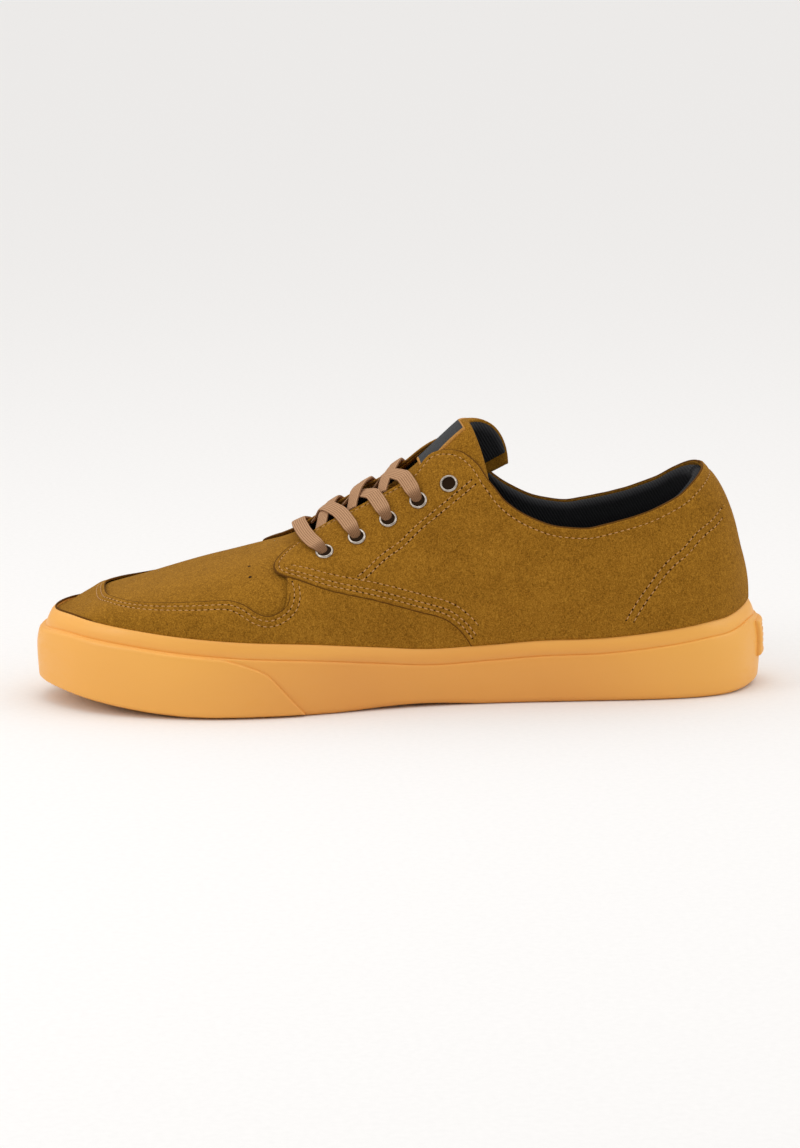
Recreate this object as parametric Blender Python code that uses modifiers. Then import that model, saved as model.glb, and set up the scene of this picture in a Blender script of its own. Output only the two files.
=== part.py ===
"""A right skateboarding shoe: suede upper on a gum rubber cup sole.

The toe points to -X, the inner (medial) side of the foot to -Y and the ground is at Z = 0.
Every surface of the upper comes from one function, form, which lofts sections over the
sole's own outline. Its offset gives the wall, the overlays and the linings.
"""

import math
from typing import NamedTuple

import bmesh
import bpy
from mathutils import Matrix, Vector
from mathutils.bvhtree import BVHTree

# Overall sizes
SOLE_LENGTH = 0.3010
BALL_WIDTH = 0.107
INSTEP_HEIGHT = 0.106
HEEL_HEIGHT = 0.0945

# Sole
SOLE_WALL_HEIGHT = 0.0305
SOLE_FLOOR = 0.0110
HEEL_LIFT = 0.0070
TOE_SPRING = 0.0080
HEEL_BEVEL = 0.0020
ARCH_RISE = 0.0012
CUP_WALL = 0.0020
SIDE_LEAN = 0.0010
END_LEAN = 0.0038
BAND_HEIGHT = 0.0058
BAND_STEP = 0.0007
SIDE_BULGE = 0.0008
EDGE_ROUND = 0.0035
TREAD_MARGIN = 0.0060
GROOVE_WIDTH = 0.0030
GROOVE_DEPTH = 0.0018
GROOVE_PITCH = 0.0110

# Where the sole changes, as shares of its length
LEAN_REACH = 0.12
SPRING_START = 0.22
BEVEL_START = 0.93
ARCH_MIDDLE = 0.50
ARCH_HALF = 0.11
LIFT_START = 0.40
LIFT_END = 0.72
BUMPER_FOOT = 0.350
BUMPER_HEAD = 0.283
BUMPER_SLANT = 0.030

# Raised rubber on the sole's side
BUMPER_PROUD = 0.0014
HEEL_PATCH_PROUD = 0.0018
HEEL_PATCH_WIDTH = 0.0250
HEEL_PATCH_HEIGHT = 0.0150
HEEL_PATCH_DROP = 0.0085
BUMPER_SHOULDER = 0.0240

# Upper, overlays and linings
UPPER_WALL = 0.0018
TOE_OVERLAY_WALL = 0.0008
QUARTER_WALL = 0.0015
INSOLE_WALL = 0.0040
INSOLE_CROWN = 0.0006
LINING_WALL = 0.0040
LINING_DEPTH = 0.0260
SIDE_SWELL = 0.0012
SWELL_HEIGHT = 0.0400
FEATHER_DEPTH = 0.0010
FIT_GAP = 0.0003

# Ends of the cutters, as shares of the sole's length
COLLAR_START = 0.420
QUARTER_TOP_START = 0.345
OVERLAY_TOP_END = 0.335
THROAT_SHOULDER = 0.377
APRON_END = 0.500
LINING_START = 0.655

# Reach of the cutters past the shoe
SILL_REACH = 0.010
BEYOND = 0.030
HIGH = 0.150

# Tongue and label. The label's ends are rows of the tongue's table.
TONGUE_WALL = 0.0040
TONGUE_BEND = 1.7
TONGUE_SLOPE = 0.93
LABEL_WALL = 0.0007
LABEL_HALF_WIDTH = 0.0110
LABEL_START = 3.9
LABEL_END = 6.3

# Eyelets and laces
EYELET_HOLE = 0.0025
EYELET_BARREL = 0.0029
EYELET_FLANGE = 0.0039
EYELET_RIM = 0.0006
EYELET_SEAT = 0.0006
EYELET_BEVEL = 0.0004
LACE_WIDTH = 0.0058
LACE_WALL = 0.0013
LACE_BOW = 0.0010
LACE_TUCK = 0.0030
LACE_CLEARANCE = 0.0013
LACE_START = 0.90
LACE_DIP_START = 0.30
LACED = 4

# Steps of the lofts
STATIONS = 30
ARCH_STEPS = 8
TONGUE_STEPS = 10
TONGUE_ACROSS = 8
LABEL_STEPS = 5
LABEL_ACROSS = 4
RING_SIDES = 10
LACE_STEPS = 8
SHARP_ANGLE = math.radians(40)

LENGTH = SOLE_LENGTH + HEEL_PATCH_PROUD + FIT_GAP
OUTLINE_FRONT = -LENGTH / 2 + BUMPER_PROUD + FIT_GAP
OUTLINE_BACK = LENGTH / 2 - HEEL_PATCH_PROUD - FIT_GAP


class PlanRow(NamedTuple):
    """Half widths of the sole's outline at one share of its length, toe first."""
    share: float
    medial: float
    lateral: float


# Half widths are shares of half the ball width.
PLAN = (
    PlanRow(0.000, 0.050, -0.050),
    PlanRow(0.020, 0.374, 0.318),
    PlanRow(0.050, 0.590, 0.545),
    PlanRow(0.100, 0.785, 0.745),
    PlanRow(0.167, 0.935, 0.890),
    PlanRow(0.233, 1.000, 0.965),
    PlanRow(0.300, 0.995, 1.000),
    PlanRow(0.367, 0.935, 0.995),
    PlanRow(0.450, 0.815, 0.935),
    PlanRow(0.533, 0.722, 0.850),
    PlanRow(0.633, 0.682, 0.755),
    PlanRow(0.733, 0.686, 0.705),
    PlanRow(0.833, 0.690, 0.682),
    PlanRow(0.900, 0.645, 0.626),
    PlanRow(0.950, 0.515, 0.495),
    PlanRow(0.983, 0.300, 0.290),
    PlanRow(1.000, 0.000, 0.000),
)


class WallRow(NamedTuple):
    """Top edge of the sole's side at one share of its length."""
    share: float
    height: float


# Heights are shares of the wall's height at the ball.
WALL = (
    WallRow(0.000, 1.200),
    WallRow(0.033, 1.235),
    WallRow(0.067, 1.205),
    WallRow(0.113, 1.160),
    WallRow(0.187, 1.080),
    WallRow(0.267, 1.013),
    WallRow(0.363, 0.944),
    WallRow(0.450, 0.850),
    WallRow(0.525, 0.780),
    WallRow(0.610, 0.810),
    WallRow(0.680, 0.850),
    WallRow(0.760, 0.866),
    WallRow(0.850, 0.950),
    WallRow(0.910, 1.030),
    WallRow(0.940, 1.060),
    WallRow(0.965, 1.120),
    WallRow(0.980, 1.170),
    WallRow(1.000, 1.190),
)


class RidgeRow(NamedTuple):
    """Top of the closed form at one share of its length, its side shift and its corner."""
    share: float
    height: float
    side: float
    corner: float


# Heights are shares of the instep height and side shifts of half the ball width.
# A corner of 1 is an ellipse, and a smaller one is squarer.
RIDGE = (
    RidgeRow(0.000, 0.335, -0.050, 0.80),
    RidgeRow(0.028, 0.353, -0.050, 0.80),
    RidgeRow(0.050, 0.385, -0.050, 0.80),
    RidgeRow(0.071, 0.418, -0.050, 0.80),
    RidgeRow(0.093, 0.432, -0.045, 0.80),
    RidgeRow(0.135, 0.460, -0.040, 0.80),
    RidgeRow(0.221, 0.528, -0.030, 0.82),
    RidgeRow(0.308, 0.590, -0.020, 0.88),
    RidgeRow(0.354, 0.633, -0.010, 0.98),
    RidgeRow(0.400, 0.710, 0.000, 1.04),
    RidgeRow(0.440, 0.780, 0.000, 1.04),
    RidgeRow(0.485, 0.853, 0.000, 1.02),
    RidgeRow(0.535, 0.945, 0.000, 0.99),
    RidgeRow(0.588, 1.030, 0.000, 0.94),
    RidgeRow(0.668, 1.105, 0.000, 0.84),
    RidgeRow(0.755, 1.132, 0.000, 0.78),
    RidgeRow(0.841, 1.080, 0.000, 0.78),
    RidgeRow(0.893, 0.975, 0.000, 0.80),
    RidgeRow(0.928, 0.880, 0.000, 0.82),
    RidgeRow(0.953, 0.800, 0.000, 0.84),
    RidgeRow(0.972, 0.690, 0.000, 0.86),
    RidgeRow(0.986, 0.545, 0.000, 0.90),
    RidgeRow(1.000, 0.345, 0.000, 0.90),
)


def turn_of(share):
    """Turn a share of the length into a share of the half turn round the plan."""
    share = min(max(share, 0.0), 1.0)
    return math.acos(1.0 - 2.0 * share) / math.pi


def share_of(turn):
    """Turn a share of the half turn round the plan into a share of the length."""
    return 0.5 * (1.0 - math.cos(math.pi * turn))


def smooth(knots, values, at):
    """Read a smooth curve through the values, with Hermite spans between the knots."""
    last = len(knots) - 1
    span = 0
    while span < last - 1 and at > knots[span + 1]:
        span += 1
    slopes = []
    for i in (span, span + 1):
        low = max(i - 1, 0)
        high = min(i + 1, last)
        slopes.append((values[high] - values[low]) / (knots[high] - knots[low]))
    width = knots[span + 1] - knots[span]
    s = min(max((at - knots[span]) / width, 0.0), 1.0)
    start = values[span] * (1 + 2 * s) * (1 - s) ** 2
    start += slopes[0] * width * s * (1 - s) ** 2
    finish = values[span + 1] * s * s * (3 - 2 * s)
    finish -= slopes[1] * width * s * s * (1 - s)
    return start + finish


def column(rows, name):
    """One column of a table."""
    return [getattr(row, name) for row in rows]


def ramp(value, start, finish):
    """A soft step from 0 at start to 1 at finish."""
    s = min(max((value - start) / (finish - start), 0.0), 1.0)
    return s * s * (3.0 - 2.0 * s)


PLAN_TURNS = [turn_of(row.share) for row in PLAN]
WALL_TURNS = [turn_of(row.share) for row in WALL]
RIDGE_TURNS = [turn_of(row.share) for row in RIDGE]


def outline_point(loop):
    """A point of the sole's outline: medial side toe to heel, then lateral side back."""
    loop %= 1.0
    turn = 2.0 * loop if loop <= 0.5 else 2.0 - 2.0 * loop
    x = OUTLINE_FRONT + share_of(turn) * (OUTLINE_BACK - OUTLINE_FRONT)
    if loop <= 0.5:
        y = -smooth(PLAN_TURNS, column(PLAN, "medial"), turn)
    else:
        y = smooth(PLAN_TURNS, column(PLAN, "lateral"), turn)
    return Vector((x, y * BALL_WIDTH / 2))


def inset_point(loop, inset):
    """A point of the outline moved inwards, square to it."""
    step = 0.002
    along = outline_point(loop + step) - outline_point(loop - step)
    inward = Vector((-along.y, along.x)).normalized()
    return outline_point(loop) + inward * inset


def wall_lean(loop):
    """How far the sole's side leans in at its top edge, most at toe and heel."""
    share = length_share(outline_point(loop).x)
    ends = 1.0 - ramp(min(share, 1.0 - share), 0.0, LEAN_REACH)
    return SIDE_LEAN + (END_LEAN - SIDE_LEAN) * ends


def foot_point(loop, offset):
    """A point of the upper's foot, which stands inside the sole's wall."""
    return inset_point(loop, wall_lean(loop) + CUP_WALL + FIT_GAP - offset)


def length_share(x):
    """Share of the sole's outline that lies in front of x."""
    return (x - OUTLINE_FRONT) / (OUTLINE_BACK - OUTLINE_FRONT)


def wall_top(x):
    """Height of the sole's top edge at x."""
    turn = turn_of(length_share(x))
    return SOLE_WALL_HEIGHT * smooth(WALL_TURNS, column(WALL, "height"), turn)


def underside(x):
    """Height of the tread's face: toe spring, arch and the bevel of the heel."""
    share = length_share(x)
    toe = max((SPRING_START - share) / SPRING_START, 0.0)
    heel = max((share - BEVEL_START) / (1.0 - BEVEL_START), 0.0)
    arch = max(1.0 - ((share - ARCH_MIDDLE) / ARCH_HALF) ** 2, 0.0)
    return TOE_SPRING * toe ** 1.6 + HEEL_BEVEL * heel ** 2 + ARCH_RISE * arch ** 2


def cup_floor(x):
    """Height of the floor inside the sole's cup."""
    share = length_share(x)
    return underside(x) + SOLE_FLOOR + HEEL_LIFT * ramp(share, LIFT_START, LIFT_END)


def form_rings(offset, drop=0.0):
    """Rings of the closed form, from its foot up to the ridge where its sides meet.

    offset moves the whole surface outwards, and drop lengthens the foot downwards.
    """
    loops = [i / (2 * STATIONS) for i in range(2 * STATIONS)]
    rings = [[]]
    for loop in loops:
        foot = foot_point(loop, offset)
        rings[0].append(Vector((foot.x, foot.y, cup_floor(foot.x) + FIT_GAP - drop)))
    for k in range(ARCH_STEPS + 1):
        swing = math.pi / 2 * k / ARCH_STEPS
        rings.append([form_point(loop, swing, offset) for loop in loops])
    return rings


def form_point(loop, swing, offset):
    """One point of the form: round the plan by loop, and up from foot to ridge by swing."""
    toe = foot_point(0.0, offset).x
    heel = foot_point(0.5, offset).x
    middle = (foot_point(loop, offset).x + foot_point(1.0 - loop, offset).x) / 2
    turn = turn_of((middle - toe) / (heel - toe))
    ridge = INSTEP_HEIGHT * smooth(RIDGE_TURNS, column(RIDGE, "height"), turn) + offset
    side = BALL_WIDTH / 2 * smooth(RIDGE_TURNS, column(RIDGE, "side"), turn)
    corner = smooth(RIDGE_TURNS, column(RIDGE, "corner"), turn)
    feather = wall_top(middle) - FEATHER_DEPTH
    rise = max(ridge - feather, 0.0)
    up = math.sin(swing) ** corner
    out = max(math.cos(swing), 0.0) ** corner
    swell = SIDE_SWELL * math.sin(math.pi * min(rise * up / SWELL_HEIGHT, 1.0))
    swell *= math.sin(math.pi * turn)
    foot = foot_point(loop, offset + swell)
    across = foot_point(1.0 - loop, offset + swell)
    top = Vector(((foot.x + across.x) / 2, side))
    flat = top + (foot - top) * out
    return Vector((flat.x, flat.y, feather + rise * up))


class SideLevel(NamedTuple):
    """A ring of the sole's side: a share of the side's height, a drop below it and an inset."""
    share: float
    drop: float
    inset: float


# The side from its rounded ground edge up to the step under the top band.
SIDE = (
    SideLevel(0.00, 0.0, EDGE_ROUND * 0.60),
    SideLevel(0.00, -EDGE_ROUND * 0.30, EDGE_ROUND * 0.20),
    SideLevel(0.00, -EDGE_ROUND, 0.0),
    SideLevel(0.35, 0.0, 0.0),
    SideLevel(0.60, 0.0, 0.0),
    SideLevel(1.00, BAND_HEIGHT + BAND_STEP, 0.0),
)

# The top band, set back by its step.
BAND = (
    SideLevel(1.00, BAND_HEIGHT, BAND_STEP),
    SideLevel(1.00, BAND_STEP, BAND_STEP),
    SideLevel(1.00, 0.0, BAND_STEP * 2),
)


def side_rings(levels, grow=0.0):
    """Rings of the sole's side at the levels, moved outwards by grow."""
    rings = []
    for level in levels:
        ring = []
        for i in range(2 * STATIONS):
            loop = i / (2 * STATIONS)
            edge = outline_point(loop)
            share = level.share - level.drop / (wall_top(edge.x) - underside(edge.x))
            lean = wall_lean(loop) * max(2.0 * share - 1.0, 0.0) ** 2
            bulge = SIDE_BULGE * math.sin(math.pi * share)
            spot = inset_point(loop, level.inset + lean - bulge - grow)
            low = underside(spot.x)
            ring.append(Vector((spot.x, spot.y, low + (wall_top(spot.x) - low) * share)))
        rings.append(ring)
    return rings


def level_ring(inset, height, place=inset_point):
    """A ring of the outline moved inwards, at the height that the function gives at x."""
    ring = []
    for i in range(2 * STATIONS):
        spot = place(i / (2 * STATIONS), inset)
        ring.append(Vector((spot.x, spot.y, height(spot.x))))
    return ring


def foot_ring(offset, height):
    """A ring along the upper's foot, moved outwards by offset."""
    return level_ring(offset, height, foot_point)


class ProfileRow(NamedTuple):
    """A corner of a cutter's outline, as a share of the sole's length and a height or width."""
    share: float
    reach: float


# Heights of the topline, as shares of the heel height, from the eyestay's top to the heel.
TOPLINE = (
    ProfileRow(0.470, 1.170),
    ProfileRow(0.530, 1.095),
    ProfileRow(0.563, 1.087),
    ProfileRow(0.576, 1.084),
    ProfileRow(0.588, 1.062),
    ProfileRow(0.602, 1.010),
    ProfileRow(0.616, 0.950),
    ProfileRow(0.628, 0.898),
    ProfileRow(0.647, 0.854),
    ProfileRow(0.666, 0.822),
    ProfileRow(0.690, 0.792),
    ProfileRow(0.712, 0.780),
    ProfileRow(0.741, 0.776),
    ProfileRow(0.786, 0.807),
    ProfileRow(0.834, 0.854),
    ProfileRow(0.880, 0.921),
    ProfileRow(0.903, 0.972),
    ProfileRow(0.920, 1.000),
    ProfileRow(0.960, 1.010),
    ProfileRow(1.050, 1.010),
)

# Half widths of the quarter's throat, as shares of half the ball width.
QUARTER_THROAT = (
    ProfileRow(0.305, 0.520),
    ProfileRow(0.328, 0.385),
    ProfileRow(0.352, 0.278),
    ProfileRow(0.376, 0.226),
    ProfileRow(0.402, 0.238),
    ProfileRow(0.450, 0.256),
    ProfileRow(0.505, 0.256),
    ProfileRow(0.550, 0.236),
    ProfileRow(0.575, 0.240),
    ProfileRow(0.610, 0.280),
    ProfileRow(0.680, 0.300),
)

# Half widths of the round front end of the throat in the upper under the quarter.
THROAT_FRONT = (
    ProfileRow(0.358, 0.000),
    ProfileRow(0.360, 0.080),
    ProfileRow(0.366, 0.160),
    ProfileRow(0.376, 0.216),
)

# Heights of the quarter's front edge, as shares of the instep height, throat to sole.
QUARTER_FRONT = (
    ProfileRow(0.338, 0.760),
    ProfileRow(0.329, 0.599),
    ProfileRow(0.321, 0.582),
    ProfileRow(0.314, 0.561),
    ProfileRow(0.315, 0.541),
    ProfileRow(0.320, 0.531),
    ProfileRow(0.327, 0.524),
    ProfileRow(0.342, 0.512),
    ProfileRow(0.376, 0.478),
    ProfileRow(0.407, 0.455),
    ProfileRow(0.442, 0.432),
    ProfileRow(0.473, 0.407),
    ProfileRow(0.505, 0.378),
    ProfileRow(0.538, 0.349),
    ProfileRow(0.556, 0.316),
    ProfileRow(0.571, 0.274),
    ProfileRow(0.582, 0.230),
    ProfileRow(0.592, 0.150),
)

# Lower edge of the vamp's apron, as shares of the instep height, toe to quarter.
APRON_SIDE = (
    ProfileRow(0.060, 0.330),
    ProfileRow(0.110, 0.395),
    ProfileRow(0.146, 0.424),
    ProfileRow(0.196, 0.437),
    ProfileRow(0.239, 0.447),
    ProfileRow(0.254, 0.444),
    ProfileRow(0.266, 0.434),
    ProfileRow(0.276, 0.418),
    ProfileRow(0.285, 0.401),
    ProfileRow(0.298, 0.389),
    ProfileRow(0.308, 0.393),
    ProfileRow(0.319, 0.408),
    ProfileRow(0.328, 0.432),
    ProfileRow(0.331, 0.463),
    ProfileRow(0.331, 0.490),
    ProfileRow(0.325, 0.560),
)

# Round front of the apron seen from above, as shares of half the ball width.
APRON_FRONT = (
    ProfileRow(0.081, 0.000),
    ProfileRow(0.082, 0.150),
    ProfileRow(0.085, 0.310),
    ProfileRow(0.094, 0.440),
    ProfileRow(0.113, 0.585),
    ProfileRow(0.146, 0.710),
    ProfileRow(0.190, 0.900),
    ProfileRow(0.240, 1.200),
)

# Middle of the eyelets, as shares of the length and of half the ball width.
EYELETS = (
    ProfileRow(0.384, 0.535),
    ProfileRow(0.428, 0.490),
    ProfileRow(0.471, 0.450),
    ProfileRow(0.514, 0.415),
    ProfileRow(0.556, 0.400),
)


class TongueRow(NamedTuple):
    """One section of the tongue: its middle, half width, and the fall and set back of its edges."""
    share: float
    height: float
    width: float
    fall: float
    back: float


# Heights, falls and set backs are shares of the instep height, widths of half the ball width.
TONGUE = (
    TongueRow(0.352, 0.602, 0.370, 0.055, 0.000),
    TongueRow(0.385, 0.640, 0.420, 0.080, 0.000),
    TongueRow(0.435, 0.716, 0.450, 0.105, 0.010),
    TongueRow(0.485, 0.800, 0.440, 0.145, 0.020),
    TongueRow(0.525, 0.880, 0.440, 0.175, 0.040),
    TongueRow(0.552, 0.955, 0.435, 0.220, 0.080),
    TongueRow(0.572, 1.015, 0.430, 0.245, 0.110),
    TongueRow(0.586, 1.054, 0.425, 0.255, 0.135),
)


class LugField(NamedTuple):
    """A row of grooves across the tread, from one share of the length, and their width."""
    share: float
    count: int
    width: float


# Widths are shares of the ball width.
FOREFOOT_LUGS = LugField(0.21, 7, 0.66)
HEEL_LUGS = LugField(0.70, 5, 0.44)


def along(share):
    """The x of a share of the sole's length."""
    return OUTLINE_FRONT + share * (OUTLINE_BACK - OUTLINE_FRONT)


def new_material(name, color, roughness, metallic=0.0):
    """A plain Principled material."""
    material = bpy.data.materials.new(name)
    material.use_nodes = True
    shader = material.node_tree.nodes["Principled BSDF"]
    shader.inputs["Base Color"].default_value = (*color, 1.0)
    shader.inputs["Roughness"].default_value = roughness
    shader.inputs["Metallic"].default_value = metallic
    material.diffuse_color = (*color, 1.0)
    return material


def new_object(name, bm, collection, material=None):
    """Put a mesh into the scene as an object with its faces pointing out."""
    bmesh.ops.remove_doubles(bm, verts=bm.verts, dist=1e-6)
    bmesh.ops.recalc_face_normals(bm, faces=bm.faces)
    mesh = bpy.data.meshes.new(name)
    bm.to_mesh(mesh)
    bm.free()
    mesh.shade_smooth()
    mesh.set_sharp_from_angle(angle=SHARP_ANGLE)
    piece = bpy.data.objects.new(name, mesh)
    if material:
        mesh.materials.append(material)
    collection.objects.link(piece)
    if collection.name == "cutters":
        piece.hide_render = True
        piece.display_type = "WIRE"
    return piece


def loft(rings, close=True):
    """A closed mesh through rings of as many points each, with both ends filled across.

    Every form splits its faces along the same diagonals, so that two offsets never cross.
    """
    bm = bmesh.new()
    count = len(rings[0])
    rows = [[bm.verts.new(point) for point in ring] for ring in rings]
    for low, high in zip(rows, rows[1:]):
        for i in range(count):
            j = (i + 1) % count
            corners = [low[i], low[j], high[j], high[i]]
            if i >= count // 2:
                corners = corners[1:] + corners[:1]
            bm.faces.new(corners)
    bmesh.ops.triangulate(bm, faces=bm.faces, quad_method="FIXED")
    fill_across(bm, rows[0])
    if close:
        fill_across(bm, rows[-1])
    return bm


def fill_across(bm, row):
    """Fill a ring with strips from one side to the other."""
    count = len(row)
    half = count // 2
    for i in range(half):
        corners = [row[i], row[i + 1], row[(count - i - 1) % count], row[(count - i) % count]]
        bm.faces.new(list(dict.fromkeys(corners)))


def form_object(name, offset, collection, material=None, drop=0.0):
    """The closed form at one offset. Its two sides share the ridge."""
    return new_object(name, loft(form_rings(offset, drop), close=False), collection, material)


def prism(name, outline, axis, collection):
    """A flat outline drawn through the whole shoe, sideways along Y or upright along Z."""
    curve = bpy.data.curves.new(name, "CURVE")
    curve.dimensions = "2D"
    curve.fill_mode = "BOTH"
    curve.extrude = BALL_WIDTH
    spline = curve.splines.new("POLY")
    spline.points.add(len(outline) - 1)
    for point, (across, up) in zip(spline.points, outline):
        point.co = (across, up, 0.0, 1.0)
    spline.use_cyclic_u = True
    drawn = bpy.data.objects.new(name + "_outline", curve)
    collection.objects.link(drawn)
    scene_state = bpy.context.evaluated_depsgraph_get()
    mesh = bpy.data.meshes.new_from_object(drawn.evaluated_get(scene_state))
    bm = bmesh.new()
    bm.from_mesh(mesh)
    if axis == "Y":
        bmesh.ops.rotate(bm, verts=bm.verts, matrix=Matrix.Rotation(math.radians(90), 3, "X"))
    bpy.data.objects.remove(drawn)
    bpy.data.meshes.remove(mesh)
    return new_object(name, bm, collection)


def profile(rows, size, steps=2):
    """Points of a smooth line through the rows, with steps points to each span."""
    marks = list(range(len(rows)))
    points = []
    for i in range((len(rows) - 1) * steps + 1):
        at = i / steps
        share = smooth(marks, column(rows, "share"), at)
        points.append((along(share), size * smooth(marks, column(rows, "reach"), at)))
    return points


def mirrored(points):
    """A plan outline closed by its own mirror image in the other side."""
    return points + [(x, -y) for x, y in reversed(points)]


def boolean(piece, tool, operation):
    """Cut, keep or join one object by another."""
    step = piece.modifiers.new(operation.lower(), "BOOLEAN")
    step.object = tool
    step.operation = operation
    step.solver = "EXACT"
    return step


def throat_half_width(x):
    """Half the quarter's throat at x."""
    shares = column(QUARTER_THROAT, "share")
    return BALL_WIDTH / 2 * smooth(shares, column(QUARTER_THROAT, "reach"), length_share(x))


class Surface:
    """The closed form at one offset, to be asked for its height and its direction."""

    def __init__(self, offset):
        rings = form_rings(offset)
        count = len(rings[0])
        points = [point for ring in rings for point in ring]
        faces = []
        for k in range(len(rings) - 1):
            for i in range(count):
                j = (i + 1) % count
                low = k * count
                high = low + count
                faces.append((low + i, low + j, high + j, high + i))
        self.tree = BVHTree.FromPolygons(points, faces)

    def under(self, x, y):
        """The surface's highest point at x and y, and its normal there."""
        spot, normal, _, _ = self.tree.ray_cast(Vector((x, y, 1.0)), Vector((0.0, 0.0, -1.0)))
        if normal.z < 0:
            normal = -normal
        return spot, normal


def box(name, low, high, collection):
    """A box between two corners."""
    bm = bmesh.new()
    bmesh.ops.create_cube(bm, size=1.0)
    size = Vector(high) - Vector(low)
    middle = (Vector(high) + Vector(low)) / 2
    for vert in bm.verts:
        vert.co = Vector((vert.co.x * size.x, vert.co.y * size.y, vert.co.z * size.z)) + middle
    return new_object(name, bm, collection)


def build_outsole(parts, cutters, rubber):
    """The gum rubber cup: rounded tread edge, bulging side, stepped top band, wall and floor."""
    tread = level_ring(TREAD_MARGIN, underside)
    inner = foot_ring(FIT_GAP, wall_top)
    floor = foot_ring(FIT_GAP, cup_floor)
    rings = [tread] + side_rings(SIDE) + side_rings(BAND) + [inner, floor]
    sole = new_object("outsole", loft(rings), parts, rubber)
    for lug_field in (FOREFOOT_LUGS, HEEL_LUGS):
        for i in range(lug_field.count):
            x = along(lug_field.share) + i * GROOVE_PITCH
            half = lug_field.width * BALL_WIDTH / 2
            low = (x, -half, -GROOVE_DEPTH)
            high = (x + GROOVE_WIDTH, half, GROOVE_DEPTH)
            boolean(sole, box("groove", low, high, cutters), "DIFFERENCE")
    return sole


def build_side_trim(name, proud, keep, parts, cutters, rubber):
    """Raised rubber on the sole's side: a skin of the side, kept where keep reaches."""
    skin = loft(side_rings(SIDE[2:], FIT_GAP + proud))
    trim = new_object(name, skin, parts, rubber)
    core_rings = [level_ring(-FIT_GAP, lambda x: -HIGH)] + side_rings(SIDE[2:], FIT_GAP)
    core_rings.append(level_ring(SIDE_LEAN, lambda x: HIGH))
    boolean(trim, new_object(name + "_core", loft(core_rings), cutters), "DIFFERENCE")
    boolean(trim, keep, "INTERSECT")
    return trim


def build_bumper(parts, cutters, rubber):
    """The strip round the toe, which ends in a slant on each side."""
    top = SOLE_WALL_HEIGHT * 2
    front = OUTLINE_FRONT - BEYOND
    outline = [
        (front, -TOE_SPRING),
        (along(BUMPER_FOOT), -TOE_SPRING),
        (along(BUMPER_FOOT), 0.0),
        (along(BUMPER_HEAD), BUMPER_SHOULDER),
        (along(BUMPER_HEAD - BUMPER_SLANT), top),
        (front, top),
    ]
    keep = prism("bumper_ends", outline, "Y", cutters)
    return build_side_trim("toe_bumper", BUMPER_PROUD, keep, parts, cutters, rubber)


def build_heel_patch(parts, cutters, rubber):
    """The small raised tab at the back of the sole."""
    head = wall_top(OUTLINE_BACK) - HEEL_PATCH_DROP
    half = HEEL_PATCH_WIDTH / 2
    low = (0.0, -half, head - HEEL_PATCH_HEIGHT)
    keep = box("heel_patch_edges", low, (LENGTH, half, head), cutters)
    return build_side_trim("heel_patch", HEEL_PATCH_PROUD, keep, parts, cutters, rubber)


def build_insole(parts, foam):
    """The sock on the cup's floor, a little crowned."""
    edge = -UPPER_WALL - FIT_GAP
    top = INSOLE_WALL + FIT_GAP
    rings = [
        foot_ring(edge, lambda x: cup_floor(x) + FIT_GAP),
        foot_ring(edge, lambda x: cup_floor(x) + top),
        foot_ring(edge - INSOLE_WALL, lambda x: cup_floor(x) + top + INSOLE_CROWN),
    ]
    return new_object("insole", loft(rings), parts, foam)


def build_upper(parts, cutters, tools, suede):
    """The hollow upper, open at the collar, the throat and underneath."""
    upper = form_object("upper", 0.0, parts, suede)
    hollow = form_object("upper_hollow", -UPPER_WALL, cutters, drop=SOLE_FLOOR)
    boolean(upper, hollow, "DIFFERENCE")
    boolean(upper, tools["collar"], "DIFFERENCE")
    boolean(upper, tools["throat"], "DIFFERENCE")
    boolean(upper, tools["holes"], "DIFFERENCE")
    return upper


def build_overlay(name, wall, parts, cutters, suede):
    """A skin of the upper between two larger forms, standing on the sole's top edge."""
    overlay = form_object(name, FIT_GAP + wall, parts, suede)
    core = form_object(name + "_core", FIT_GAP, cutters, drop=SOLE_FLOOR)
    boolean(overlay, core, "DIFFERENCE")
    return overlay


def build_overlays(parts, cutters, tools, suede):
    """The mudguard round the toe and the quarter with its eyestays."""
    toe = build_overlay("toe_overlay", TOE_OVERLAY_WALL, parts, cutters, suede)
    boolean(toe, tools["sill"], "DIFFERENCE")
    boolean(toe, tools["apron"], "DIFFERENCE")
    boolean(toe, tools["behind_quarter_edge"], "DIFFERENCE")
    quarter = build_overlay("quarter", QUARTER_WALL, parts, cutters, suede)
    boolean(quarter, tools["sill"], "DIFFERENCE")
    boolean(quarter, tools["quarter_area"], "INTERSECT")
    boolean(quarter, tools["collar"], "DIFFERENCE")
    boolean(quarter, tools["quarter_throat"], "DIFFERENCE")
    boolean(quarter, tools["holes"], "DIFFERENCE")
    return toe, quarter


def build_lining(parts, cutters, tools, mesh_cloth):
    """The padded lining inside the collar."""
    lining = form_object("collar_lining", -UPPER_WALL - FIT_GAP, parts, mesh_cloth)
    core = form_object("lining_core", -UPPER_WALL - FIT_GAP - LINING_WALL, cutters, drop=SOLE_FLOOR)
    boolean(lining, core, "DIFFERENCE")
    boolean(lining, tools["collar_band"], "INTERSECT")
    boolean(lining, tools["lining_front"], "DIFFERENCE")
    return lining


def tongue_section(at):
    """The tongue's section at a place between the rows of its table."""
    marks = list(range(len(TONGUE)))
    return TongueRow(*(smooth(marks, column(TONGUE, name), at) for name in TongueRow._fields))


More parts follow.
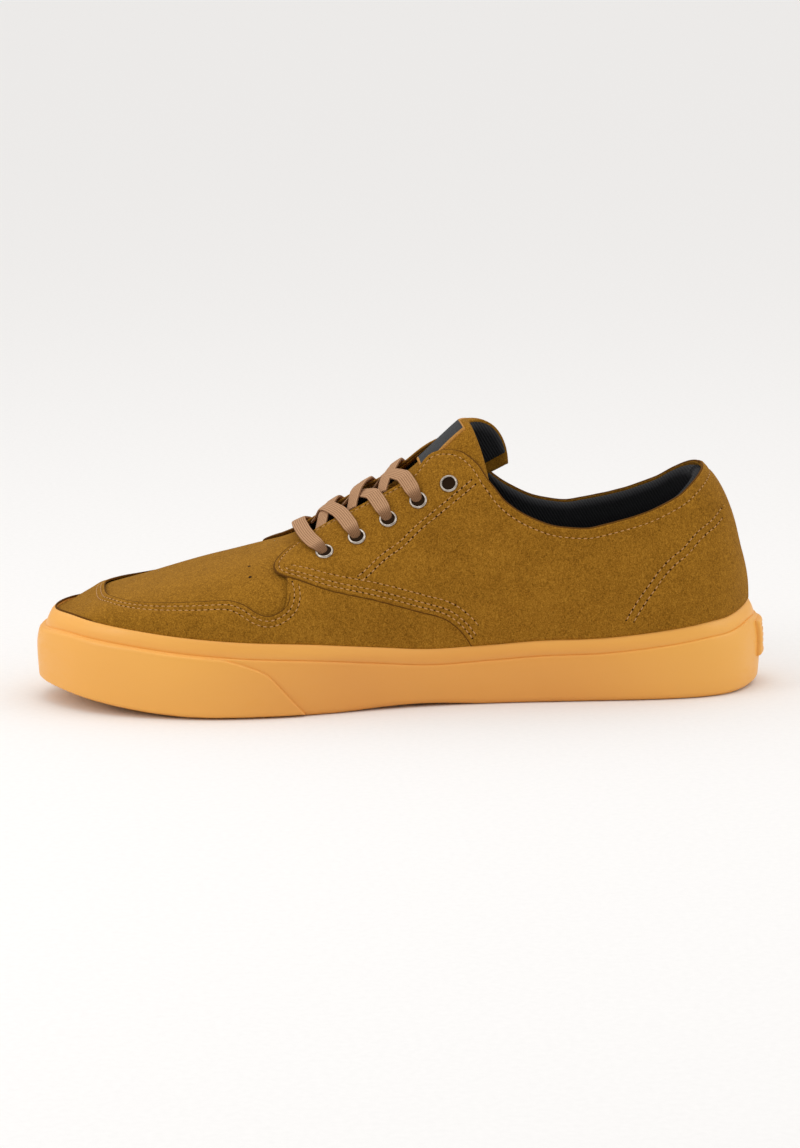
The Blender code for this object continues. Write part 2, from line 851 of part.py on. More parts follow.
def tongue_sheet(start, finish, spread, lift, steps, across):
    """Rows of points over part of the tongue, lifted off its outer face."""
    ahead = Vector((-math.sin(TONGUE_SLOPE), 0.0, math.cos(TONGUE_SLOPE))) * lift
    rows = []
    for i in range(steps + 1):
        section = tongue_section(start + (finish - start) * i / steps)
        row = []
        for j in range(across + 1):
            v = (2.0 * j / across - 1.0) * spread
            bend = abs(v) ** TONGUE_BEND
            x = along(section.share) + section.back * INSTEP_HEIGHT * bend
            z = (section.height - section.fall * bend) * INSTEP_HEIGHT
            row.append(Vector((x, v * section.width * BALL_WIDTH / 2, z)) + ahead)
        rows.append(row)
    return rows


def sheet_object(name, rows, wall, parts, material):
    """A sheet through rows of points, thickened under its outer face."""
    bm = bmesh.new()
    grid = [[bm.verts.new(point) for point in row] for row in rows]
    for low, high in zip(grid, grid[1:]):
        for i in range(len(low) - 1):
            bm.faces.new((low[i], high[i], high[i + 1], low[i + 1]))
    mesh = bpy.data.meshes.new(name)
    bm.to_mesh(mesh)
    bm.free()
    mesh.shade_smooth()
    mesh.materials.append(material)
    piece = bpy.data.objects.new(name, mesh)
    parts.objects.link(piece)
    wall_step = piece.modifiers.new("wall", "SOLIDIFY")
    wall_step.thickness = wall
    wall_step.offset = -1.0
    return piece


def build_tongue(parts, suede, woven):
    """The padded tongue and the plain woven label on its front."""
    last = len(TONGUE) - 1
    rows = tongue_sheet(0, last, 1.0, 0.0, TONGUE_STEPS, TONGUE_ACROSS)
    tongue = sheet_object("tongue", rows, TONGUE_WALL, parts, suede)
    spread = LABEL_HALF_WIDTH / (TONGUE[-1].width * BALL_WIDTH / 2)
    lift = 2 * FIT_GAP + LABEL_WALL
    rows = tongue_sheet(LABEL_START, LABEL_END, spread, lift, LABEL_STEPS, LABEL_ACROSS)
    label = sheet_object("tongue_label", rows, LABEL_WALL, parts, woven)
    return tongue, label


def eyelet_places():
    """Middle and outward direction of each eyelet on the quarter, with its name."""
    surface = Surface(FIT_GAP + QUARTER_WALL)
    places = []
    for side_name, sign in (("medial", -1.0), ("lateral", 1.0)):
        for number, row in enumerate(EYELETS, start=1):
            spot, normal = surface.under(along(row.share), sign * row.reach * BALL_WIDTH / 2)
            places.append((f"eyelet_{side_name}_{number}", spot, normal))
    return places


def build_holes(places, cutters):
    """The round holes for the eyelets' barrels, through quarter and upper."""
    bm = bmesh.new()
    for _, spot, normal in places:
        turn = normal.to_track_quat("Z", "Y").to_matrix().to_4x4()
        place = Matrix.Translation(spot) @ turn
        bmesh.ops.create_cone(
            bm, cap_ends=True, segments=RING_SIDES, radius1=EYELET_BARREL + FIT_GAP,
            radius2=EYELET_BARREL + FIT_GAP, depth=4 * (UPPER_WALL + QUARTER_WALL), matrix=place)
    return new_object("eyelet_holes", bm, cutters)


def build_eyelets(places, parts, metal):
    """Turned rings: a flange on the quarter and a barrel through its hole."""
    barrel = QUARTER_WALL + UPPER_WALL + FIT_GAP
    face = EYELET_SEAT + EYELET_RIM
    outline = [
        (EYELET_BARREL, -barrel),
        (EYELET_HOLE, -barrel),
        (EYELET_HOLE, face),
        (EYELET_FLANGE - EYELET_BEVEL, face),
        (EYELET_FLANGE, EYELET_SEAT),
        (EYELET_BARREL, EYELET_SEAT),
    ]
    mesh = bpy.data.meshes.new("eyelet_profile")
    edges = [(i, (i + 1) % len(outline)) for i in range(len(outline))]
    mesh.from_pydata([(radius, 0.0, height) for radius, height in outline], edges, [])
    mesh.materials.append(metal)
    for name, spot, normal in places:
        ring = bpy.data.objects.new(name, mesh)
        ring.rotation_mode = "QUATERNION"
        ring.rotation_quaternion = normal.to_track_quat("Z", "Y")
        ring.location = spot
        parts.objects.link(ring)
        turn = ring.modifiers.new("turn", "SCREW")
        turn.steps = RING_SIDES
        turn.render_steps = RING_SIDES
        turn.use_merge_vertices = True
        turn.merge_threshold = EYELET_BEVEL / 10
        turn.use_normal_calculate = True
        turn.use_normal_flip = True


def strap(name, route, collection, material=None):
    """A flat lace along a route of points and face directions."""
    rings = []
    for i, (point, face) in enumerate(route):
        ahead = route[min(i + 1, len(route) - 1)][0] - route[max(i - 1, 0)][0]
        across = ahead.cross(face).normalized() * (LACE_WIDTH / 2)
        up = across.cross(ahead).normalized() * (LACE_WALL / 2)
        left = point - across
        right = point + across
        rings.append([left - up, right - up, right + up, left + up])
    return new_object(name, loft(rings), collection, material)


def lace_route(surface, start, finish):
    """A lace from inside the throat at start, over the gap and the far eyestay to finish.

    start and finish are x and y. Over the throat the lace spans from edge to edge.
    """
    route = []
    for i in range(LACE_STEPS + 1):
        s = i / LACE_STEPS
        x = start[0] + (finish[0] - start[0]) * s
        y = start[1] + (finish[1] - start[1]) * s
        half = throat_half_width(x)
        spot, normal = surface.under(x, y)
        if abs(y) < half:
            edge, _ = surface.under(x, half)
            spot = Vector((x, y, edge.z + LACE_BOW * (1.0 - (y / half) ** 2)))
            if start[1] * y > 0:
                spot.z -= LACE_TUCK * ramp(abs(y) / half, LACE_DIP_START, 1.0)
        route.append((spot, normal))
    return route


def build_laces(parts, cutters, cotton):
    """A straight bar between the first eyelets, then three crossings up to the fourth."""
    lift = FIT_GAP + QUARTER_WALL + EYELET_SEAT + EYELET_RIM + LACE_CLEARANCE + LACE_WALL / 2
    surface = Surface(lift)
    rows = [(along(row.share), row.reach * BALL_WIDTH / 2) for row in EYELETS]
    x, y = rows[0]
    strap("lace_bar", lace_route(surface, (x, -y), (x, y)), parts, cotton)
    for i in range(LACED - 1):
        x, y = rows[i + 1]
        middle = (rows[i][0] + x) / 2
        inside = throat_half_width(middle) * LACE_START
        over = lace_route(surface, (middle, -inside), (x, y))
        back = lace_route(surface, (middle, inside), (x, -y))
        to_lateral = strap(f"lace_crossing_{i + 1}", over, parts, cotton)
        to_medial = strap(f"lace_back_{i + 1}", back, cutters)
        boolean(to_lateral, to_medial, "UNION")


def build_tools(cutters, places):
    """The cutters that shape the upper, its overlays and the lining."""
    heel = OUTLINE_BACK + BEYOND
    topline = profile(TOPLINE, HEEL_HEIGHT)
    above = topline + [(heel, HIGH), (along(COLLAR_START), HIGH)]
    edge = profile(QUARTER_THROAT, BALL_WIDTH / 2)
    inner = profile(THROAT_FRONT, BALL_WIDTH / 2)
    inner += [spot for spot in edge if spot[0] > along(THROAT_SHOULDER)]
    front = profile(QUARTER_FRONT, INSTEP_HEIGHT)
    behind = front + [(heel, 0.0), (heel, HIGH), (along(QUARTER_TOP_START), HIGH)]
    before = [(x - FIT_GAP, z - FIT_GAP) for x, z in front]
    before += [(heel, 0.0), (heel, HIGH), (along(OVERLAY_TOP_END), HIGH)]
    apron_side = profile(APRON_SIDE, INSTEP_HEIGHT)
    apron_side += [(along(APRON_END), HIGH), (OUTLINE_FRONT, HIGH)]
    apron_plan = profile(APRON_FRONT, BALL_WIDTH / 2) + [(along(APRON_END), BALL_WIDTH)]
    back = [spot for spot in topline if spot[0] > along(LINING_START)]
    band = back + [(x, z - LINING_DEPTH) for x, z in reversed(back)]
    low = (OUTLINE_FRONT, -BALL_WIDTH, 0.0)
    high = (along(LINING_START), BALL_WIDTH, HIGH)
    tools = {
        "collar": prism("collar_opening", above, "Y", cutters),
        "throat": prism("throat_opening", mirrored(inner), "Z", cutters),
        "quarter_throat": prism("quarter_throat", mirrored(edge), "Z", cutters),
        "quarter_area": prism("quarter_area", behind, "Y", cutters),
        "behind_quarter_edge": prism("behind_quarter_edge", before, "Y", cutters),
        "apron": prism("apron_side", apron_side, "Y", cutters),
        "collar_band": prism("collar_band", band, "Y", cutters),
        "lining_front": box("lining_front", low, high, cutters),
        "holes": build_holes(places, cutters),
        "sill": build_sill(cutters),
    }
    boolean(tools["apron"], prism("apron_front", mirrored(apron_plan), "Z", cutters), "INTERSECT")
    return tools


def build_sill(cutters):
    """All that lies under the sole's top edge, a gap above it."""
    low = level_ring(-SILL_REACH, lambda x: -TOE_SPRING)
    high = level_ring(-SILL_REACH, lambda x: wall_top(x) + 2 * FIT_GAP)
    return new_object("sill", loft([low, high]), cutters)


def main():
    """Build the shoe."""
    for old in list(bpy.data.objects):
        bpy.data.objects.remove(old)
    parts = bpy.data.collections.new("skate_shoe")
    cutters = bpy.data.collections.new("cutters")
    bpy.context.scene.collection.children.link(parts)
    bpy.context.scene.collection.children.link(cutters)
    rubber = new_material("gum_rubber", (0.72, 0.37, 0.10), 0.45)
    suede = new_material("suede", (0.34, 0.18, 0.03), 0.95)
    dark_cloth = new_material("dark_cloth", (0.012, 0.012, 0.013), 0.9)
    woven = new_material("woven_label", (0.10, 0.10, 0.10), 0.8)
    cotton = new_material("lace_cotton", (0.40, 0.24, 0.14), 0.85)
    metal = new_material("eyelet_metal", (0.55, 0.52, 0.48), 0.3, 1.0)
    places = eyelet_places()
    tools = build_tools(cutters, places)
    build_outsole(parts, cutters, rubber)
    build_bumper(parts, cutters, rubber)
    build_heel_patch(parts, cutters, rubber)
    build_insole(parts, dark_cloth)
    build_upper(parts, cutters, tools, suede)
    build_overlays(parts, cutters, tools, suede)
    build_lining(parts, cutters, tools, dark_cloth)
    build_tongue(parts, suede, woven)
    build_eyelets(places, parts, metal)
    build_laces(parts, cutters, cotton)


main()
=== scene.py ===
import logging
import math
from dataclasses import dataclass, field
from enum import Enum
from typing import Callable, NamedTuple, Sequence

import bmesh
import bpy
import numpy as np
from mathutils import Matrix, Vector
from mathutils.bvhtree import BVHTree
from mathutils.geometry import barycentric_transform
from mathutils.kdtree import KDTree


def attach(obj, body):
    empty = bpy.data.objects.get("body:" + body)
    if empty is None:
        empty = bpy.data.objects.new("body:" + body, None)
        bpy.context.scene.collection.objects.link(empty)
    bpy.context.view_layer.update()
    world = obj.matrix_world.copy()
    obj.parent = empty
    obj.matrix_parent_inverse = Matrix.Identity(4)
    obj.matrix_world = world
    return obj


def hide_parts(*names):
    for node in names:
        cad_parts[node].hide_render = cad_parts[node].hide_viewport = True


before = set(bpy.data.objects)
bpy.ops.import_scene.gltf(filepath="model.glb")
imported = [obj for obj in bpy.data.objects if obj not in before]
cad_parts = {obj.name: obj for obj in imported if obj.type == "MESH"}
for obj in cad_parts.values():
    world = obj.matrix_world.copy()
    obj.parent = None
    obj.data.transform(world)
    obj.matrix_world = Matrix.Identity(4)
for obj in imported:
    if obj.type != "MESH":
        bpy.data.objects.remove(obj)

log = logging.getLogger("skate_shoe")
MM = 0.001
EDGE_STEP = 0.0003
MERGE_REACH = 1e-6
SOLE_SHARP = 60.0
STRIP_SHARP = 70.0
SOFT_SHARP = 80.0
Points = np.ndarray


class Side(Enum):
    """Side of the foot. The value is the sign of Y."""
    MEDIAL = -1.0
    LATERAL = 1.0


class Plan(NamedTuple):
    """Half widths of the sole's outline at one share of its length."""
    share: float
    medial: float
    lateral: float


class Rise(NamedTuple):
    """Height of the sole's top edge at one share of its length."""
    share: float
    height: float


class Ridge(NamedTuple):
    """Top of the form at one share of its length, its side shift and its corner."""
    share: float
    height: float
    side: float
    corner: float


def hermite(rows: Sequence[NamedTuple], name: str, at: Points) -> Points:
    """Read a column of a table as a smooth curve over the half turn round the plan.

    Args:
        rows: The table, whose first column is a share of the length.
        name: The column to read.
        at: Shares of the half turn.

    Returns:
        The curve's values there.
    """
    knots = turn_of(np.array([row.share for row in rows]))
    values = np.array([getattr(row, name) for row in rows])
    last = len(knots) - 1
    span = np.clip(np.searchsorted(knots, at) - 1, 0, last - 1)
    index = np.arange(last + 1)
    low = np.maximum(index - 1, 0)
    high = np.minimum(index + 1, last)
    slopes = (values[high] - values[low]) / (knots[high] - knots[low])
    width = knots[span + 1] - knots[span]
    s = np.clip((at - knots[span]) / width, 0.0, 1.0)
    start = values[span] * (1 + 2 * s) * (1 - s) ** 2 + slopes[span] * width * s * (1 - s) ** 2
    finish = values[span + 1] * s * s * (3 - 2 * s) - slopes[span + 1] * width * s * s * (1 - s)
    return start + finish


def turn_of(share: Points) -> Points:
    """Turn shares of the length into shares of the half turn round the plan."""
    return np.arccos(1.0 - 2.0 * np.clip(share, 0.0, 1.0)) / math.pi


def ramp(value: Points, start: float, finish: float) -> Points:
    """A soft step from 0 at start to 1 at finish."""
    s = np.clip((value - start) / (finish - start), 0.0, 1.0)
    return s * s * (3.0 - 2.0 * s)


@dataclass
class Last:
    """The shoe's form in the CAD's own sizes, which every panel is laid on."""
    sole_length: float = 0.3010
    ball_width: float = 0.107
    instep_height: float = 0.106
    wall_height: float = 0.0305
    sole_floor: float = 0.0110
    heel_lift: float = 0.0070
    toe_spring: float = 0.0080
    heel_bevel: float = 0.0020
    arch_rise: float = 0.0012
    cup_wall: float = 0.0020
    side_lean: float = 0.0010
    end_lean: float = 0.0038
    side_swell: float = 0.0012
    swell_height: float = 0.0400
    feather_depth: float = 0.0010
    fit_gap: float = 0.0003
    patch_proud: float = 0.0018
    bumper_proud: float = 0.0014
    lean_reach: float = 0.12
    spring_start: float = 0.22
    spring_power: float = 1.6
    bevel_start: float = 0.93
    arch_middle: float = 0.50
    arch_half: float = 0.11
    lift_start: float = 0.40
    lift_full: float = 0.72
    core_front: float = -0.100
    core_back: float = 0.098
    core_height: float = 0.030
    loops: int = 480
    swings: int = 84
    plan: Sequence[Plan] = (
        Plan(0.000, 0.050, -0.050), Plan(0.020, 0.374, 0.318), Plan(0.050, 0.590, 0.545),
        Plan(0.100, 0.785, 0.745), Plan(0.167, 0.935, 0.890), Plan(0.233, 1.000, 0.965),
        Plan(0.300, 0.995, 1.000), Plan(0.367, 0.935, 0.995), Plan(0.450, 0.815, 0.935),
        Plan(0.533, 0.722, 0.850), Plan(0.633, 0.682, 0.755), Plan(0.733, 0.686, 0.705),
        Plan(0.833, 0.690, 0.682), Plan(0.900, 0.645, 0.626), Plan(0.950, 0.515, 0.495),
        Plan(0.983, 0.300, 0.290), Plan(1.000, 0.000, 0.000))
    wall: Sequence[Rise] = (
        Rise(0.000, 1.200), Rise(0.033, 1.235), Rise(0.067, 1.205), Rise(0.113, 1.160),
        Rise(0.187, 1.080), Rise(0.267, 1.013), Rise(0.363, 0.944), Rise(0.450, 0.850),
        Rise(0.525, 0.780), Rise(0.610, 0.810), Rise(0.680, 0.850), Rise(0.760, 0.866),
        Rise(0.850, 0.950), Rise(0.910, 1.030), Rise(0.940, 1.060), Rise(0.965, 1.120),
        Rise(0.980, 1.170), Rise(1.000, 1.190))
    ridge: Sequence[Ridge] = (
        Ridge(0.000, 0.335, -0.050, 0.80), Ridge(0.028, 0.353, -0.050, 0.80),
        Ridge(0.050, 0.385, -0.050, 0.80), Ridge(0.071, 0.418, -0.050, 0.80),
        Ridge(0.093, 0.432, -0.045, 0.80), Ridge(0.135, 0.460, -0.040, 0.80),
        Ridge(0.221, 0.528, -0.030, 0.82), Ridge(0.308, 0.590, -0.020, 0.88),
        Ridge(0.354, 0.633, -0.010, 0.98), Ridge(0.400, 0.710, 0.000, 1.04),
        Ridge(0.440, 0.780, 0.000, 1.04), Ridge(0.485, 0.853, 0.000, 1.02),
        Ridge(0.535, 0.945, 0.000, 0.99), Ridge(0.588, 1.030, 0.000, 0.94),
        Ridge(0.668, 1.105, 0.000, 0.84), Ridge(0.755, 1.132, 0.000, 0.78),
        Ridge(0.841, 1.080, 0.000, 0.78), Ridge(0.893, 0.975, 0.000, 0.80),
        Ridge(0.928, 0.880, 0.000, 0.82), Ridge(0.953, 0.800, 0.000, 0.84),
        Ridge(0.972, 0.690, 0.000, 0.86), Ridge(0.986, 0.545, 0.000, 0.90),
        Ridge(1.000, 0.345, 0.000, 0.90))

    def __post_init__(self) -> None:
        """Work out the ends of the outline and the skin that panels are laid on."""
        length = self.sole_length + self.patch_proud + self.fit_gap
        self.front = -length / 2 + self.bumper_proud + self.fit_gap
        self.back = length / 2 - self.patch_proud - self.fit_gap
        self.tree, self.corners, self.normals, self.faces = self.skin()

    def share(self, x: Points) -> Points:
        """Share of the outline's length in front of x."""
        return (x - self.front) / (self.back - self.front)

    def outline(self, loop: Points) -> Points:
        """Points of the sole's outline.

        Args:
            loop: Places round it, from 0 at the toe over 0.5 at the heel to 1.

        Returns:
            Rows of x and y.
        """
        loop = np.asarray(loop, float) % 1.0
        turn = np.where(loop <= 0.5, 2.0 * loop, 2.0 - 2.0 * loop)
        x = self.front + 0.5 * (1.0 - np.cos(math.pi * turn)) * (self.back - self.front)
        medial = -hermite(self.plan, "medial", turn)
        lateral = hermite(self.plan, "lateral", turn)
        y = np.where(loop <= 0.5, medial, lateral) * self.ball_width / 2
        return np.stack([x, y], axis=-1)

    def inset(self, loop: Points, amount: Points) -> Points:
        """Points of the outline moved inwards, square to it.

        Args:
            loop: Places round it.
            amount: How far each point moves.

        Returns:
            Rows of x and y.
        """
        step = 0.002
        ahead = self.outline(loop + step) - self.outline(loop - step)
        inward = np.stack([-ahead[..., 1], ahead[..., 0]], axis=-1)
        inward /= np.linalg.norm(inward, axis=-1, keepdims=True)
        return self.outline(loop) + inward * np.asarray(amount)[..., None]

    def lean(self, loop: Points) -> Points:
        """How far the sole's side leans in at its top edge, by place round the plan."""
        share = self.share(self.outline(loop)[..., 0])
        ends = 1.0 - ramp(np.minimum(share, 1.0 - share), 0.0, self.lean_reach)
        return self.side_lean + (self.end_lean - self.side_lean) * ends

    def foot(self, loop: Points, offset: Points) -> Points:
        """Points of the upper's foot inside the sole's wall."""
        return self.inset(loop, self.lean(loop) + self.cup_wall + self.fit_gap - offset)

    def wall_top(self, x: Points) -> Points:
        """Height of the sole's top edge."""
        return self.wall_height * hermite(self.wall, "height", turn_of(self.share(x)))

    def underside(self, x: Points) -> Points:
        """Height of the tread's face, with its toe spring, heel bevel and arch.

        Args:
            x: Places along the shoe.

        Returns:
            The heights there.
        """
        share = self.share(x)
        toe = np.maximum((self.spring_start - share) / self.spring_start, 0.0)
        heel = np.maximum((share - self.bevel_start) / (1.0 - self.bevel_start), 0.0)
        arch = np.maximum(1.0 - ((share - self.arch_middle) / self.arch_half) ** 2, 0.0)
        spring = self.toe_spring * toe ** self.spring_power
        return spring + self.heel_bevel * heel ** 2 + self.arch_rise * arch ** 2

    def floor(self, x: Points) -> Points:
        """Height of the floor inside the sole."""
        lift = self.heel_lift * ramp(self.share(x), self.lift_start, self.lift_full)
        return self.underside(x) + self.sole_floor + lift

    def form(self, loop: Points, swing: Points, offset: float = 0.0) -> Points:
        """Points of the closed form.

        Args:
            loop: Places round the plan.
            swing: Angles up each section, from 0 at the foot to a quarter turn at the ridge.
            offset: How far the form is grown.

        Returns:
            The points, on the grid of loop and swing.
        """
        toe = self.foot(np.array(0.0), offset)[0]
        heel = self.foot(np.array(0.5), offset)[0]
        middle = (self.foot(loop, offset)[..., 0] + self.foot(1.0 - loop, offset)[..., 0]) / 2
        turn = turn_of((middle - toe) / (heel - toe))
        ridge = self.instep_height * hermite(self.ridge, "height", turn) + offset
        side = self.ball_width / 2 * hermite(self.ridge, "side", turn)
        corner = hermite(self.ridge, "corner", turn)
        feather = self.wall_top(middle) - self.feather_depth
        rise = np.maximum(ridge - feather, 0.0)
        up = np.sin(swing) ** corner
        out = np.maximum(np.cos(swing), 0.0) ** corner
        swell = self.side_swell * np.sin(math.pi * np.minimum(rise * up / self.swell_height, 1.0))
        swell = swell * np.sin(math.pi * turn)
        near = self.foot(loop, offset + swell)
        far = self.foot(1.0 - loop, offset + swell)
        top = np.stack([(near[..., 0] + far[..., 0]) / 2, side], axis=-1)
        flat = top + (near - top) * out[..., None]
        return np.concatenate([flat, (feather + rise * up)[..., None]], axis=-1)

    def skin(self) -> tuple[BVHTree, Points, Points, list]:
        """A dense copy of the form, to project panels on.

        Returns:
            Its search tree, its points, their normals and its faces.
        """
        loop, swing = np.meshgrid(
            np.arange(self.loops) / self.loops, np.linspace(0.0, math.pi / 2, self.swings), indexing="xy")
        rows = self.form(loop, swing)
        foot = self.foot(loop[0], 0.0)
        base = np.concatenate([foot, self.floor(foot[:, 0])[:, None]], axis=-1)
        rows = np.concatenate([base[None], rows])
        right = np.roll(rows, -1, axis=1) - np.roll(rows, 1, axis=1)
        above = np.gradient(rows, axis=0)
        normals = np.cross(right, above)
        length = np.linalg.norm(normals, axis=-1, keepdims=True)
        normals = np.where(length > 1e-12, normals / np.maximum(length, 1e-12), (0.0, 0.0, 1.0))
        normals[-1] = normals[-2]
        middle = rows.mean(axis=(0, 1))
        if ((rows[2] - middle) * normals[2]).sum() < 0:
            normals = -normals
        count = self.loops
        index = np.arange(rows.shape[0] * count).reshape(rows.shape[0], count)
        low, high = index[:-1], index[1:]
        low_next, high_next = np.roll(low, -1, axis=1), np.roll(high, -1, axis=1)
        first = np.stack([low, low_next, high_next], axis=-1).reshape(-1, 3)
        second = np.stack([low, high_next, high], axis=-1).reshape(-1, 3)
        faces = np.concatenate([first, second]).tolist()
        corners = rows.reshape(-1, 3)
        tree = BVHTree.FromPolygons(corners.tolist(), faces)
        return tree, corners, normals.reshape(-1, 3), faces

    def land(self, points: Points, offset: Points | float = 0.0) -> tuple[Points, Points]:
        """Project points on the form from its inner line, and lift them off it.

        Args:
            points: Points near the form, in rows.
            offset: How far each one is lifted along the surface's normal.

        Returns:
            The points on the lifted surface, and the surface's normals there.
        """
        flat = np.asarray(points, float).reshape(-1, 3)
        lift = np.broadcast_to(offset, np.shape(points)[:-1]).reshape(-1)
        spots = np.empty_like(flat)
        normals = np.empty_like(flat)
        for i, (x, y, z) in enumerate(flat):
            start = Vector((min(max(x, self.core_front), self.core_back), 0.0, self.core_height))
            ray = Vector((x, y, z)) - start
            hit, _, face, _ = self.tree.ray_cast(start, ray)
            if hit is None:
                hit, _, face, _ = self.tree.find_nearest(Vector((x, y, z)))
            a, b, c = (Vector(self.corners[k]) for k in self.faces[face])
            na, nb, nc = (Vector(self.normals[k]) for k in self.faces[face])
            normal = barycentric_transform(hit, a, b, c, na, nb, nc).normalized()
            spots[i] = hit
            normals[i] = normal
        spots += normals * lift[:, None]
        return spots.reshape(np.shape(points)), normals.reshape(np.shape(points))


def smooth_line(points: Points, count: int) -> Points:
    """A smooth line through points, with evenly spaced steps.

    Args:
        points: The points in rows.
        count: How many steps' ends to return.

    Returns:
        The line's points in rows.
    """
    points = np.asarray(points, float)
    padded = np.concatenate([2 * points[:1] - points[1:2], points, 2 * points[-1:] - points[-2:-1]])
    t = np.linspace(0.0, 1.0, 12, endpoint=False)[:, None]
    spans = []
    for a, b, c, d in zip(padded, padded[1:], padded[2:], padded[3:]):
        spans.append(0.5 * (2 * b + (c - a) * t + (2 * a - 5 * b + 4 * c - d) * t ** 2
                            + (3 * b - a - 3 * c + d) * t ** 3))
    line = np.concatenate(spans + [points[-1:]])
    return even(line, count)


def even(line: Points, count: int) -> Points:
    """Space a line's points evenly.

    Args:
        line: The points in rows.
        count: How many points to return.

    Returns:
        The new points in rows.
    """
    steps = np.linalg.norm(np.diff(line, axis=0), axis=1)
    reach = np.concatenate([[0.0], np.cumsum(steps)])
    at = np.linspace(0.0, reach[-1], count)
    return np.stack([np.interp(at, reach, line[:, k]) for k in range(line.shape[1])], axis=-1)


def reach_of(line: Points) -> float:
    """Length of a line of points."""
    return float(np.linalg.norm(np.diff(line, axis=0), axis=1).sum())


def other_side(points: Points, side: Side) -> Points:
    """Points of the medial side, mirrored when the side is the lateral one."""
    return np.asarray(points, float) * (1.0, -side.value, 1.0)


class Seam(Enum):
    """Edges of the medial panels, as x, y and z in millimetres, near the form."""
    THROAT = ((-55.9, -31.5, 59.0), (-55.2, -28.6, 60.3), (-53.4, -24.8, 61.8), (-50.6, -20.4, 63.6),
              (-47.2, -16.9, 65.3), (-42.4, -13.8, 67.7), (-37.0, -12.4, 70.6), (-29.2, -12.7, 74.7),
              (-20.0, -13.4, 79.6), (-9.9, -13.6, 85.1), (2.0, -12.6, 91.9), (8.5, -9.2, 98.2),
              (11.6, -8.6, 100.7), (15.0, -10.1, 102.1), (18.5, -12.4, 102.8), (22.2, -14.9, 102.4),
              (25.5, -17.9, 100.8), (28.5, -20.6, 98.3), (32.1, -24.3, 92.8), (35.0, -26.2, 89.0),
              (38.3, -28.1, 84.9), (43.8, -29.8, 80.7), (49.5, -30.9, 77.7), (56.7, -31.9, 74.9),
              (63.3, -32.4, 73.7), (71.9, -32.8, 73.3), (78.9, -32.7, 74.6), (85.5, -32.6, 76.3),
              (92.1, -32.2, 78.0), (99.9, -31.2, 80.7), (108.0, -28.9, 84.2), (113.4, -26.0, 87.1),
              (118.9, -20.0, 90.6), (122.6, -12.5, 93.0), (124.4, -5.5, 94.2), (124.8, 0.0, 94.4))
    QUARTER_FRONT = ((-55.9, -31.5, 59.0), (-55.8, -33.6, 58.0), (-54.8, -36.0, 56.7),
                     (-51.9, -38.0, 55.6), (-47.4, -39.2, 54.3), (-37.1, -41.6, 50.7),
                     (-27.8, -41.6, 48.2), (-17.5, -40.7, 45.8), (-8.3, -39.7, 43.1),
                     (1.5, -38.5, 40.0), (11.4, -37.4, 37.0), (16.8, -36.9, 33.5),
                     (21.0, -36.2, 29.0), (24.2, -35.7, 24.0))
    APRON = ((-126.0, 0.0, 45.6), (-125.9, -8.5, 45.6), (-124.9, -16.6, 45.5), (-121.8, -23.6, 45.5),
             (-115.9, -31.4, 45.3), (-106.0, -38.1, 45.4), (-91.0, -43.8, 46.4), (-78.2, -46.0, 47.3),
             (-73.8, -46.9, 47.1), (-70.3, -48.2, 46.0), (-67.2, -49.4, 44.3), (-64.4, -50.3, 42.5),
             (-60.6, -50.6, 41.3), (-57.6, -50.2, 41.7), (-54.3, -49.2, 43.3), (-51.8, -47.8, 45.8),
             (-50.8, -45.6, 49.1), (-50.8, -43.2, 51.9), (-51.4, -40.5, 54.5), (-52.0, -36.5, 57.3))
    EYESTAY = ((-22.0, -37.9, 54.0), (-19.0, -36.6, 56.0), (-14.3, -34.1, 60.0), (-9.7, -32.1, 63.4),
               (-3.9, -30.3, 67.2), (3.0, -27.9, 73.4), (10.8, -26.2, 79.4), (20.5, -24.6, 87.0),
               (27.0, -23.6, 92.4))
    COUNTER = ((130.0, -17.9, 77.7), (125.7, -23.8, 74.2), (118.0, -29.6, 69.6), (112.2, -32.5, 63.9),
               (106.1, -34.1, 59.4), (101.0, -35.2, 54.2), (97.1, -35.7, 48.8), (93.2, -36.0, 43.3),
               (89.5, -36.0, 36.9), (86.4, -35.6, 31.0))

    def line(self, side: Side, count: int = 120) -> Points:
        """The seam on one side, in metres, in even steps."""
        return smooth_line(other_side(np.array(self.value) * MM, side), count)


EYELET_ROWS = ((-35.0, -29.0, 63.4), (-21.6, -26.6, 69.3), (-8.6, -24.1, 76.3), (4.0, -22.2, 83.7),
               (16.6, -21.7, 90.5))


